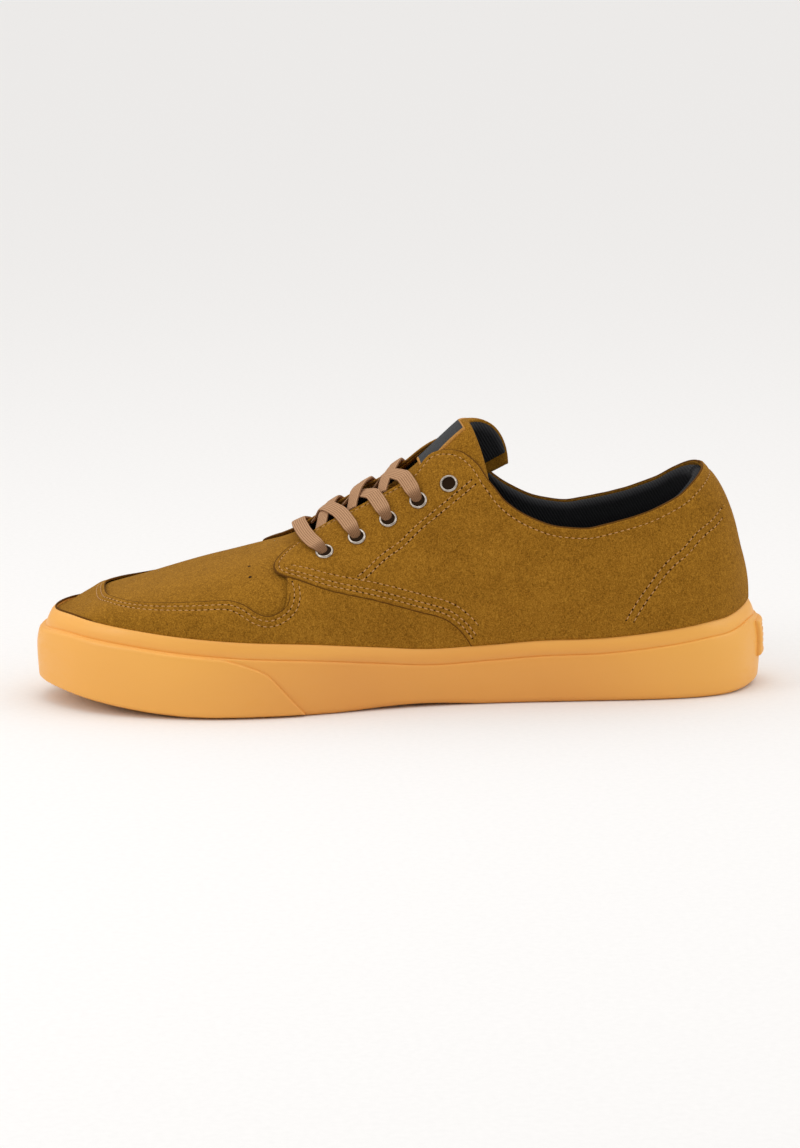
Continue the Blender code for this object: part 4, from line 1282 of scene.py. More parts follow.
def join(parts: Sequence[tuple]) -> tuple[Points, list]:
    """Join several meshes.

    Args:
        parts: The meshes, each a pair of points and faces.

    Returns:
        All the points and faces.
    """
    points = []
    faces = []
    start = 0
    for spots, quads in parts:
        points.append(np.asarray(spots).reshape(-1, 3))
        faces += [tuple(start + k for k in quad) for quad in quads]
        start += len(points[-1])
    return np.concatenate(points), faces


def tube(line: Points, radius: float, sides: int) -> tuple[Points, list]:
    """A round tube along a line.

    Args:
        line: The line's points in rows.
        radius: The tube's radius.
        sides: How many sides it has.

    Returns:
        Its points and faces.
    """
    ahead = np.gradient(line, axis=0)
    ahead /= np.linalg.norm(ahead, axis=1, keepdims=True)
    side = np.cross(ahead, (0.13, 0.21, 0.97))
    side /= np.linalg.norm(side, axis=1, keepdims=True)
    up = np.cross(side, ahead)
    turn = circle(sides)
    ring = turn[None, :, :1] * side[:, None] + turn[None, :, 1:] * up[:, None]
    points = line[:, None] + ring * radius
    return points.reshape(-1, 3), tube_faces(len(line), sides)


@dataclass
class CupSole:
    """The gum rubber cup sole with its band, toe bumper, heel patch and sock."""
    last: Last
    maker: Maker
    wardrobe: Wardrobe
    loops: int = 288
    band_height: float = 0.0058
    band_step: float = 0.0007
    side_bulge: float = 0.0008
    edge_round: float = 0.002625
    edge_steps: int = 6
    tread_margin: float = 0.0060
    bumper_proud: float = 0.0014
    bumper_foot: float = 0.350
    bumper_head: float = 0.283
    bumper_corner: float = 0.045
    bumper_turn: float = 0.72
    bumper_low: float = 0.03
    bumper_gap: float = 0.0003
    bumper_crowd: float = 1.25
    patch_proud: float = 0.0018
    patch_width: float = 0.0250
    patch_height: float = 0.0150
    patch_drop: float = 0.0085
    patch_field: float = 0.0007
    rib_rise: float = 0.00045
    rib_pitch: float = 0.0024
    lip: float = 0.0009
    sock_gap: float = 0.0021
    sock_points: int = 144
    sock_profile: Sequence[tuple[float, float]] = (
        (0.0, 0.0003), (0.0, 0.0036), (0.0006, 0.0041), (0.0016, 0.0044), (0.004, 0.0048),
        (0.012, 0.0050))
    treads: Sequence[tuple[float, int, float]] = ((0.21, 7, 0.66), (0.70, 5, 0.44))
    groove_pitch: float = 0.0110
    groove_width: float = 0.0030
    groove_depth: float = 0.0018

    def side(self, loop: Points, share: Points, inset: Points = 0.0) -> Points:
        """Points of the sole's side.

        Args:
            loop: Places round the plan.
            share: Shares of the side's height.
            inset: How far the points lie inside the side.

        Returns:
            The points, on the same grid.
        """
        share = np.asarray(share, float)
        lean = self.last.lean(loop) * np.maximum(2.0 * share - 1.0, 0.0) ** 2
        bulge = self.side_bulge * np.sin(math.pi * np.clip(share, 0.0, 1.0))
        spot = self.last.inset(loop, inset + lean - bulge)
        low = self.last.underside(spot[..., 0])
        rise = self.last.wall_top(spot[..., 0]) - low
        return np.concatenate([spot, (low + rise * share)[..., None]], axis=-1)

    def ring(self, loop: Points, share: float, drop: float, inset: float) -> Points:
        """A ring of the side.

        Args:
            loop: Places round the plan.
            share: Its share of the side's height.
            drop: How far it lies below that.
            inset: How far it lies inside the side.

        Returns:
            The ring's points.
        """
        x = self.last.outline(loop)[:, 0]
        rise = self.last.wall_top(x) - self.last.underside(x)
        return self.side(loop, share - drop / rise, inset)

    def level(self, line: Points, height: Callable) -> Points:
        """Give a flat line its heights."""
        return np.concatenate([line, height(line[:, 0])[:, None]], axis=1)

    def build_outsole(self) -> None:
        """The cup: rounded ground edge, bulging side, stepped band, rim, wall and floor."""
        last = self.last
        loop = np.arange(self.loops) / self.loops
        rings = [self.level(last.inset(loop, np.full_like(loop, self.tread_margin)), last.underside)]
        for angle in np.linspace(0.0, math.pi / 2, self.edge_steps + 1):
            inset = self.edge_round * (1.0 - math.sin(angle))
            rings.append(self.ring(loop, 0.0, -self.edge_round * (1.0 - math.cos(angle)), inset))
        step = self.band_step
        top = self.band_height + step
        profile = [(share, 0.0, 0.0) for share in (0.20, 0.32, 0.44, 0.56, 0.66)]
        profile += [
            (1.0, top + 0.0012, 0.0), (1.0, top + 0.0004, 0.00005), (1.0, top, 0.0003),
            (1.0, top - 0.0001, step * 1.4), (1.0, top - 0.0007, step), (1.0, top * 0.5, step * 0.9),
            (1.0, 0.0009, step), (1.0, 0.0003, step * 1.35), (1.0, 0.0, step * 2.0)]
        rings += [self.ring(loop, share, drop, inset) for share, drop, inset in profile]
        inner = last.foot(loop, 0.0001)
        rings += [self.level(inner, last.wall_top), self.level(inner, last.floor)]
        points = np.concatenate(rings)
        faces = stack_faces(len(rings), self.loops)
        sole = self.maker.piece(
            "cup_sole", points, faces, self.wardrobe.gum, "gum_rubber", ["outsole"], sharp=SOLE_SHARP)
        self.cut_tread(sole)

    def cut_tread(self, sole: bpy.types.Object) -> None:
        """Cut the main grooves under the ball and the heel.

        Args:
            sole: The cup sole's piece, whose mesh is changed.
        """
        length = self.last.back - self.last.front
        corners = np.array([(i, j, k) for i in (-1, 1) for j in (-1, 1) for k in (-1, 1)])
        sides = [(0, 1, 3, 2), (4, 6, 7, 5), (0, 4, 5, 1), (2, 3, 7, 6), (0, 2, 6, 4), (1, 5, 7, 3)]
        parts = []
        for share, count, reach in self.treads:
            middle = self.last.front + share * length
            half = (self.groove_width / 2, reach * self.last.ball_width / 2, self.groove_depth)
            for number in range(count):
                x = middle + (number - (count - 1) / 2) * self.groove_pitch
                low = float(self.last.underside(np.array(x)))
                parts.append((corners * half + (x, 0.0, low), sides))
        points, faces = join(parts)
        mesh = bpy.data.meshes.new("groove_cutter")
        mesh.from_pydata(points.tolist(), [], faces)
        cutter = bpy.data.objects.new("groove_cutter", mesh)
        bpy.context.scene.collection.objects.link(cutter)
        step = sole.modifiers.new("grooves", "BOOLEAN")
        step.operation = "DIFFERENCE"
        step.solver = "EXACT"
        step.object = cutter
        shaped = bpy.data.meshes.new_from_object(sole.evaluated_get(bpy.context.evaluated_depsgraph_get()))
        sole.modifiers.clear()
        sole.data = shaped
        bpy.data.objects.remove(cutter)
        shaped.shade_smooth()
        shaped.set_sharp_from_angle(angle=math.radians(SOLE_SHARP))

    def raised(self, loop: Points, height: Points, proud: float, relief: Points | float = 0.0) -> tuple:
        """A raised strip of the side with rounded edges.

        Args:
            loop: Places round the plan, in rows of columns.
            height: Shares of the side's height on the same grid.
            proud: How far it stands out.
            relief: What is added to that inside its edges.

        Returns:
            The points and faces of a closed sheet.
        """
        base = self.side(loop, height, 0.0001)
        edges = [base[0], base[-1], base[:, 0], base[:, -1]]
        lift = edge_lift(base, edges, proud, self.lip) + relief
        return closed_sheet(self.side(loop, height, -lift), self.side(loop, height, 0.0004))

    def build_bumper(self) -> None:
        """The strip round the toe, with slanting rear ends."""
        first = [0.0, 0.012, 0.03, 0.055]
        final = [0.945, 0.97, 0.988, 1.0]
        rows = np.concatenate([first, np.linspace(0.09, 0.91, 12), final])
        columns = np.linspace(-1.0, 1.0, 321)
        columns = np.sign(columns) * (1.0 - (1.0 - np.abs(columns)) ** self.bumper_crowd)
        loops = []
        shares = []
        for row in rows:
            end = self.bumper_foot + (self.bumper_head - self.bumper_foot) * row
            end -= self.bumper_corner * max((row - self.bumper_turn) / (1.0 - self.bumper_turn), 0.0) ** 2
            reach = float(turn_of(np.array(end))) / 2
            loop = -columns * reach
            x = self.last.outline(loop)[:, 0]
            rise = self.last.wall_top(x) - self.last.underside(x)
            top = 1.0 - (self.band_height + self.band_step + self.bumper_gap) / rise
            loops.append(loop % 1.0)
            shares.append(self.bumper_low + (top - self.bumper_low) * row)
        points, faces = self.raised(np.array(loops), np.array(shares), self.bumper_proud)
        self.maker.piece(
            "toe_strip", points, faces, self.wardrobe.gum, "gum_rubber", ["toe_bumper"], sharp=STRIP_SHARP)

    def build_patch(self) -> None:
        """The tab at the back, with a raised border and plain ribs."""
        last = self.last
        across = np.linspace(-1.0, 1.0, 81)
        up = np.linspace(0.0, 1.0, 61)
        head = float(last.wall_top(np.array(last.back))) - self.patch_drop
        loops = np.linspace(0.40, 0.60, 1200)
        y = self.side(loops, np.full_like(loops, 0.5))[:, 1]
        loop = np.interp(across * self.patch_width / 2, y, loops)
        low = float(last.underside(np.array(last.back)))
        rise = float(last.wall_top(np.array(last.back))) - low
        height = (head - self.patch_height * (1.0 - up) - low) / rise
        grid_loop, grid_height = np.meshgrid(loop, height)
        u, v = np.meshgrid(across * self.patch_width / 2, (up - 0.5) * self.patch_height)
        inside = np.minimum(self.patch_width / 2 - np.abs(u), self.patch_height / 2 - np.abs(v))
        sunk = -self.patch_field * ramp(inside, 0.0016, 0.0022)
        wave = ramp(np.cos(v * 2 * math.pi / self.rib_pitch), 0.0, 0.6)
        ribs = self.rib_rise * wave * ramp(inside, 0.0024, 0.0030)
        points, faces = self.raised(grid_loop, grid_height, self.patch_proud, sunk + ribs)
        self.maker.piece(
            "heel_tab", points, faces, self.wardrobe.gum, "gum_rubber", ["heel_patch"], sharp=STRIP_SHARP)

    def build_sock(self) -> None:
        """The crowned sock on the floor."""
        last = self.last
        loop = np.arange(self.sock_points) / self.sock_points
        rings = []
        for inset, rise in self.sock_profile:
            line = last.foot(loop, -self.sock_gap - inset)
            rings.append(np.concatenate([line, (last.floor(line[:, 0]) + rise)[:, None]], axis=1))
        points = np.concatenate(rings)
        faces = stack_faces(len(rings), self.sock_points)
        self.maker.piece("sock", points, faces, self.wardrobe.lining, "dark_cloth", ["insole"])

    def build(self) -> None:
        """Make all the rubber and the sock."""
        self.build_outsole()
        self.build_bumper()
        self.build_patch()
        self.build_sock()


@dataclass
class Panels:
    """The finished suede surfaces, for what is sewn or set on them."""
    trees: list = field(default_factory=list)
    above: float = 0.006
    sight: float = 0.008

    def keep(self, points: Points, faces: Sequence) -> None:
        """Remember a panel's surface."""
        self.trees.append(BVHTree.FromPolygons(np.asarray(points).reshape(-1, 3).tolist(), faces))

    def drop(self, last: Last, points: Points) -> tuple[Points, Points]:
        """Lower points on the outermost panel.

        Args:
            last: The form that the panels lie on.
            points: Points near the form, in rows.

        Returns:
            The points, and the form's normals there.
        """
        spots, normals = last.land(points)
        flat = spots.reshape(-1, 3)
        across = normals.reshape(-1, 3)
        found = np.empty_like(flat)
        for i, (spot, normal) in enumerate(zip(flat, across)):
            start = Vector(spot + normal * self.above)
            hits = [tree.ray_cast(start, Vector(-normal), self.sight) for tree in self.trees]
            gaps = [hit[3] for hit in hits if hit[0] is not None]
            found[i] = spot + normal * ((self.above - min(gaps)) if gaps else 0.0)
        return found.reshape(np.shape(points)), normals


@dataclass
class Collar:
    """The padded collar, which rolls over the topline, and the lining below it."""
    last: Last
    maker: Maker
    wardrobe: Wardrobe
    pad: float = 0.0062
    thin: float = 0.0017
    front: float = -0.046
    throat_drop: float = 0.0065
    throat_span: tuple[float, float] = (-0.022, -0.012)
    pad_start: float = 0.026
    pad_full: float = 0.050
    roll: float = 0.0012
    roll_steps: int = 13
    roll_foot: float = 0.0016
    edge_drop: float = 0.0010
    skin_gap: float = 0.0001
    low_rise: float = 0.0040
    heel_margin: float = 0.0032
    heel_start: float = 0.104
    depths: Sequence[float] = (0.0, 0.004, 0.010, 0.018, 0.026, 0.034, 0.042, 0.060)
    swell: Sequence[float] = (0.92, 1.0, 1.04, 1.0, 0.86, 0.62, 0.46, 0.42)

    def profile(self, start: Points, finish: Points, pad: Points) -> tuple[Points, Points]:
        """Cross sections of the lining, one for each column.

        Args:
            start: The topline's points.
            finish: The points on the foot line below them.
            pad: The thickness at the roll for each column.

        Returns:
            The seen face and the hidden face, as rows of columns.
        """
        topline, normals = self.last.land(start)
        down = finish - topline
        reach = np.linalg.norm(down, axis=1, keepdims=True)
        down = down / reach
        down = down - normals * (down * normals).sum(axis=1, keepdims=True)
        down = down / np.linalg.norm(down, axis=1, keepdims=True)
        half = pad[:, None] / 2
        edge = self.edge_drop + self.throat_drop * ramp(-topline[:, :1], *self.throat_span)
        seen = []
        hidden = []
        for angle in np.linspace(0.0, math.pi, self.roll_steps):
            out = -half + half * math.cos(angle)
            sink = edge + self.roll_foot - (self.roll + self.roll_foot) * math.sin(angle)
            seen.append(topline + normals * out + down * sink)
            hidden.append(topline - normals * self.skin_gap + down * (edge + 0.0018 + 0.0004 * angle))
        lowest = edge[:, 0] + self.roll_foot
        for share in np.linspace(0.03, 1.0, 40):
            depth = lowest + (reach[:, 0] - lowest) * share
            guides = topline + (finish - topline) * (depth / reach[:, 0])[:, None]
            thick = np.maximum(pad * np.interp(depth, self.depths, self.swell), self.thin)
            seen.append(self.last.land(guides, -thick)[0])
            hidden.append(self.last.land(guides, -self.skin_gap)[0])
        return np.array(seen), np.array(hidden)

    def build(self) -> None:
        """Make the lining round the whole opening in one piece."""
        lines = []
        for side in Side:
            edge = Seam.THROAT.line(side, 260)
            lines.append(edge[edge[:, 0] > self.front])
        top = np.concatenate([lines[0], lines[1][-2::-1]])
        share = self.last.share(np.minimum(top[:, 0], self.last.back - self.heel_margin))
        loop = turn_of(share) / 2
        loop = np.where(top[:, 1] > 0, 1.0 - loop, loop)
        order = np.concatenate([[0.0], np.cumsum(np.linalg.norm(np.diff(top, axis=0), axis=1))])
        ends = np.flatnonzero(top[:, 0] > self.heel_start)[[0, -1]]
        round_heel = slice(ends[0], ends[1] + 1)
        loop[round_heel] = np.interp(order[round_heel], order[ends], loop[ends])
        foot = self.last.foot(loop, 0.0)
        height = self.last.floor(foot[:, 0]) + self.low_rise
        low = np.concatenate([foot, height[:, None]], axis=1)
        pad = self.thin + (self.pad - self.thin) * ramp(top[:, 0], self.pad_start, self.pad_full)
        seen, hidden = self.profile(top, low, pad)
        points, faces = closed_sheet(seen, hidden)
        piece = self.maker.piece(
            "collar_pad", points, faces, self.wardrobe.lining, "dark_cloth", ["collar_lining"],
            sharp=SOFT_SHARP)


class TongueRow(NamedTuple):
    """One row of the tongue: place, height, half width, and the fall and sweep of each side."""
    share: float
    height: float
    width: float
    fall: float
    back: float
    far_fall: float
    far_back: float


@dataclass
class Tongue:
    """The padded tongue, with its suede face, its dark back and its plain patch."""
    last: Last
    maker: Maker
    wardrobe: Wardrobe
    wall: float = 0.0040
    bend: float = 1.7
    top_bend: float = 3.1
    far_turn: float = 1.1
    corner: float = 0.9
    corner_power: int = 5
    corner_rows: tuple[float, float] = (4.0, 7.0)
    bend_rows: tuple[float, float] = (3.0, 5.5)
    swell_rows: tuple[float, float] = (3.5, 6.0)
    middle_reach: float = 0.1
    rounding: float = 0.0030
    puff: float = 0.0008
    back_reach: float = 0.985
    back_spread: float = 0.93
    back_gap: float = 0.0007
    patch_half: float = 0.0095
    patch_wall: float = 0.0010
    patch_span: tuple[float, float] = (3.9, 6.60)
    patch_round: float = 0.0007
    patch_rise: float = 0.0006
    patch_sink: float = 0.0002
    line_points: int = 400
    rows: Sequence[TongueRow] = (
        TongueRow(0.352, 0.602, 0.370, 0.055, 0.000, 0.055, 0.000),
        TongueRow(0.385, 0.640, 0.420, 0.080, 0.000, 0.080, 0.000),
        TongueRow(0.435, 0.716, 0.450, 0.105, 0.010, 0.105, 0.010),
        TongueRow(0.485, 0.815, 0.440, 0.155, 0.020, 0.145, 0.030),
        TongueRow(0.525, 0.903, 0.440, 0.195, 0.040, 0.170, 0.075),
        TongueRow(0.552, 0.975, 0.435, 0.235, 0.080, 0.180, 0.160),
        TongueRow(0.572, 1.028, 0.430, 0.255, 0.110, 0.175, 0.225),
        TongueRow(0.587, 1.064, 0.425, 0.260, 0.135, 0.165, 0.270))

    def spread(self, at: Points, across: Points) -> tuple[Points, Points]:
        """The tongue's front face.

        Args:
            at: Places along it, as row numbers of the table.
            across: Places across it, from -1 to 1.

        Returns:
            The points in rows and their outward normals.
        """
        table = np.array(self.rows)
        line = smooth_line(table, self.line_points)
        reach = np.array([np.argmin(np.abs(line - entry).sum(axis=1)) for entry in table], float)
        corner = self.corner * ramp(at, *self.corner_rows)[:, None]
        corner = corner * np.abs(across)[None] ** self.corner_power
        index = np.interp(at[:, None] - corner, np.arange(len(table)), reach)
        share, height, width, fall, back, far_fall, far_back = (
            np.interp(index, np.arange(self.line_points), column) for column in line.T)
        far = ramp(across, -self.middle_reach, self.middle_reach)[None]
        fall = fall + (far_fall - fall) * far
        back = back + (far_back - back) * far
        length = self.last.back - self.last.front
        late = ramp(at, *self.bend_rows)[:, None]
        bend = self.bend + (self.top_bend - self.bend) * late
        swept = np.abs(across)[None] ** (bend - self.far_turn * far * late)
        dropped = np.abs(across)[None] ** (bend + self.far_turn * far * late)
        x = self.last.front + share * length + back * self.last.instep_height * swept
        z = (height - fall * dropped) * self.last.instep_height
        y = across[None] * width * self.last.ball_width / 2
        points = np.stack([x, y, z], axis=-1)
        normals = np.cross(np.gradient(points, axis=1), np.gradient(points, axis=0))
        normals /= np.linalg.norm(normals, axis=-1, keepdims=True)
        return points, normals * np.sign(normals[..., 2:].mean())

    def build(self) -> None:
        """Make the face, the back and the patch."""
        across = np.sin(np.linspace(-math.pi / 2, math.pi / 2, 61))
        at = (len(self.rows) - 1) * np.sin(np.linspace(0.0, math.pi / 2, 91)) ** 0.9
        front, normals = self.spread(at, across)
        edges = [front[:, 0], front[:, -1], front[-1]]
        half = edge_lift(front, edges, self.wall / 2, self.rounding)[..., None]
        swell = 1.0 + self.puff / self.wall * 2 * ramp(at, *self.swell_rows)[:, None, None]
        middle = front - normals * self.wall / 2
        face = closed_sheet(middle + normals * half * swell, middle - normals * half * 0.45)
        self.maker.piece("tongue_face", *face, self.wardrobe.suede, "suede", ["tongue"], sharp=SOFT_SHARP)
        back_front, back_normals = self.spread(at * self.back_reach, across * self.back_spread)
        edges = [back_front[:, 0], back_front[:, -1], back_front[-1]]
        depth = edge_lift(back_front, edges, self.wall / 2 + self.puff, self.rounding)[..., None]
        middle = back_front - back_normals * self.wall / 2
        outer = middle - back_normals * half * 0.3
        lining = closed_sheet(outer, middle - back_normals * (self.back_gap + depth))
        piece = self.maker.piece(
            "tongue_lining", *lining, self.wardrobe.lining, "dark_cloth", sharp=SOFT_SHARP)
        self.build_patch()

    def build_patch(self) -> None:
        """The woven patch, which stands a little proud of the face."""
        spread = self.patch_half / (self.rows[-1].width * self.last.ball_width / 2)
        across = np.linspace(-spread, spread, 41)
        at = np.linspace(*self.patch_span, 61)
        front, normals = self.spread(at, across)
        edges = [front[0], front[-1], front[:, 0], front[:, -1]]
        rise = edge_lift(front, edges, self.patch_wall, self.patch_round)[..., None]
        points, faces = closed_sheet(
            front + normals * (self.patch_rise + rise), front + normals * self.patch_sink)
        u, v = np.meshgrid(
            np.linspace(0.0, 1.0, len(at)), np.linspace(0.0, 1.0, len(across)), indexing="ij")
        chart = np.stack([u, v], axis=-1).reshape(-1, 2)
        chart = np.concatenate([chart, chart])
        self.maker.piece("tongue_patch", points, faces, self.wardrobe.label, "woven_label",
                         ["tongue_label"], chart)


@dataclass
class Eyelets:
    """Ten turned metal rings, with a dark disc of painted shade in each hole."""
    last: Last
    maker: Maker
    wardrobe: Wardrobe
    panels: Panels
    sides: int = 40
    hole: float = 0.00266
    hole_rise: float = 0.00012
    hole_depth: float = 0.0004
    outline: Sequence[tuple[float, float]] = (
        (2.66, -0.90), (2.66, 0.18), (2.74, 0.46), (2.92, 0.68), (3.14, 0.76), (3.38, 0.68),
        (3.58, 0.48), (3.72, 0.24), (3.78, 0.02), (3.78, -0.30), (3.10, -0.90))

    def places(self) -> list[tuple[Vector, Vector]]:
        """Where the eyelets sit.

        Returns:
            Each one's middle on the eyestay and its outward direction.
        """
        spots = np.array(EYELET_ROWS) * MM
        both = np.concatenate([other_side(spots, side) for side in Side])
        found, normals = self.panels.drop(self.last, both)
        return [(Vector(spot), Vector(normal)) for spot, normal in zip(found, normals)]

    def build(self) -> None:
        """Make the rings in one mesh and the discs of painted shade in their holes in another."""
        rings = []
        discs = []
        turn = circle(self.sides)
        shape = np.array(self.outline) * MM
        count = len(shape)
        ring_faces = []
        for i in range(self.sides):
            here = i * count
            ahead = (i + 1) % self.sides * count
            for j in range(count):
                k = (j + 1) % count
                ring_faces.append((here + j, here + k, ahead + k, ahead + j))
        disc_faces = [tuple(range(self.sides)), tuple(range(2 * self.sides - 1, self.sides - 1, -1))]
        disc_faces += [(i, i + self.sides, (i + 1) % self.sides + self.sides, (i + 1) % self.sides)
                       for i in range(self.sides)]
        for spot, normal in self.places():
            tilt = np.array(normal.to_track_quat("Z", "Y").to_matrix()).T
            flat = turn[:, None, :] * shape[None, :, :1]
            lifts = np.broadcast_to(shape[None, :, 1:], (self.sides, count, 1))
            points = np.concatenate([flat, lifts], axis=-1).reshape(-1, 3)
            rings.append((points @ tilt + np.array(spot), ring_faces))
            # A dark disc in each hole, painted shade for the inside of the hole.
            rim = np.concatenate([turn * self.hole, np.full((self.sides, 1), self.hole_rise)], axis=1)
            disc = np.concatenate([rim, rim - (0.0, 0.0, self.hole_depth)])
            discs.append((disc @ tilt + np.array(spot), disc_faces))
        points, faces = join(rings)
        names = [f"eyelet_{side}_{i}" for side in ("medial", "lateral") for i in range(1, 6)]
        self.maker.piece("eyelet_rings", points, faces, self.wardrobe.metal, "eyelet_metal", names)
        points, faces = join(discs)
        self.maker.piece("eyelet_holes", points, faces, self.wardrobe.hole, "dark_cloth")


@dataclass
class Laces:
    """Flat laces: a bar at the toe end and three crossings, run into their eyelets."""
    last: Last
    maker: Maker
    wardrobe: Wardrobe
    width: float = 0.0063
    wall: float = 0.0013
    forward: float = 0.0072
    swing: float = 0.0080
    slant: float = 0.0165
    lift: float = 0.0034
    bow: float = 0.0012
    tuck: float = 0.0034
    over: float = 0.0008
    dive: float = 0.0026
    stop: float = 0.93
    laced: int = 4
    count: int = 90
    sides: int = 16
    flatness: float = 0.55
    roundness: float = 0.75
    pinch: float = 0.70
    pinch_span: tuple[float, float] = (0.0005, 0.0075)
    throat_end: float = 0.0115
    cupping: float = 0.0021

    def throat(self) -> Points:
        """The throat's edge on the medial side, from the toe end to its top corner."""
        line = Seam.THROAT.line(Side.MEDIAL, 300)
        return line[line[:, 0] < self.throat_end]

    def route(self, number: int, sign: float, rise: float, whole: bool) -> tuple[Points, Points]:
        """A lace's middle line from the eyelet over the throat.

        Args:
            number: Which eyelet it starts in.
            sign: That eyelet's side.
            rise: How far it passes over or under the other lace in the middle.
            whole: Whether it runs to the eyelet opposite, as the bar does.

        Returns:
            The line's points and its face directions.
        """
        edge = self.throat()
        eyelet = np.array(EYELET_ROWS[number]) * MM
        reach = -eyelet[1]
        points = []
        faces = []
        for s in np.linspace(0.0, 1.0, 61):
            y = reach * (1.0 - 2.0 * s)
            gone = min(reach - y, reach + y) if whole else reach - y
            if whole:
                x = eyelet[0] - self.forward * (1.0 - math.exp(-gone / self.swing))
            else:
                x = eyelet[0] - self.slant * (gone / (2 * reach)) ** 0.9
            half = float(np.interp(x, edge[:, 0], -edge[:, 1]))
            height = float(np.interp(x, edge[:, 0], edge[:, 2]))
            if not whole and y < -half * self.stop:
                break
            if abs(y) >= half:
                along = (abs(y) - half) / max(reach - half, 1e-6)
                guide = np.array([x, sign * y, height + (eyelet[2] - height) * along])
            else:
                guide = np.array([x, sign * half, height])
            spots, normals = self.last.land(guide[None], self.lift)
            spot = spots[0]
            normal = normals[0]
            if abs(y) < half:
                share = y / half
                spot[1] = sign * y
                spot[2] += self.bow * (1.0 - share * share) + rise * (1.0 - share * share) ** 2
                if not whole and y < 0:
                    spot[2] -= self.tuck * float(ramp(np.array(-share), 0.15, 0.95))
                normal = normal * (1.0, abs(share), 1.0)
            if gone < self.dive:
                spot = spot - normal * self.dive * (1.0 - gone / self.dive) ** 1.6
            points.append(spot)
            faces.append(normal / np.linalg.norm(normal))
        return np.array(points), np.array(faces)

    def ribbon(self, points: Points, faces: Points, whole: bool) -> tuple[Points, list, Points]:
        """A flat tube along a line.

        Args:
            points: The middle line.
            faces: Its face directions.
            whole: Whether both its ends narrow into eyelets.

        Returns:
            Its points, faces and chart.
        """
        line = even(smooth_line(points, 240), self.count)
        spans = np.linspace(0.0, 1.0, len(faces))
        places = np.linspace(0.0, 1.0, self.count)
        face = np.stack([np.interp(places, spans, column) for column in faces.T], axis=-1)
        ahead = np.gradient(line, axis=0)
        ahead /= np.linalg.norm(ahead, axis=1, keepdims=True)
        side = np.cross(ahead, face)
        side /= np.linalg.norm(side, axis=1, keepdims=True)
        up = np.cross(side, ahead)
        reach = np.linspace(0.0, reach_of(line), self.count)
        gone = np.minimum(reach, reach[-1] - reach) if whole else reach
        narrow = self.pinch + (1.0 - self.pinch) * ramp(gone, *self.pinch_span)
        turn = circle(self.sides)
        flat = np.sign(turn[:, 0]) * np.abs(turn[:, 0]) ** self.flatness * self.width / 2
        thick = np.sign(turn[:, 1]) * np.abs(turn[:, 1]) ** self.roundness * self.wall / 2
        wide = flat[None] * narrow[:, None]
        cup = self.cupping * (1.0 - (flat / (self.width / 2)) ** 2) * (1.0 - narrow[:, None])
        rings = line[:, None] + side[:, None] * wide[..., None] + up[:, None] * (thick[None] + cup)[..., None]
        share = flat / self.width + 0.5
        chart = np.stack(np.broadcast_arrays(reach[:, None], share[None]), axis=-1)
        return rings.reshape(-1, 3), tube_faces(self.count, self.sides), chart.reshape(-1, 2)

    def build(self) -> None:
        """Make the bar and the crossings."""
        lace = self.wardrobe.lace
        points, faces, chart = self.ribbon(*self.route(0, Side.MEDIAL.value, 0.0, True), True)
        self.maker.piece(
            "lace_straight", points, faces, lace, "lace_cotton", ["lace_bar"], chart, STRIP_SHARP)
        for number in range(1, self.laced):
            for side in Side:
                rise = self.over if (side is Side.MEDIAL) == (number % 2 == 1) else -self.over
                route = self.route(number, side.value, rise, False)
                points, faces, chart = self.ribbon(*route, False)
                name = f"lace_{side.name.lower()}_{number}"
                stands_for = [f"lace_crossing_{number}"] if side is Side.MEDIAL else []
                self.maker.piece(
                    name, points, faces, lace, "lace_cotton", stands_for, chart, STRIP_SHARP)


class StitchRow(NamedTuple):
    """A row of stitches beside a seam: its distances in millimetres along the seam, and its span."""
    seam: Seam
    aside: tuple
    start: float
    finish: float
    towards: tuple


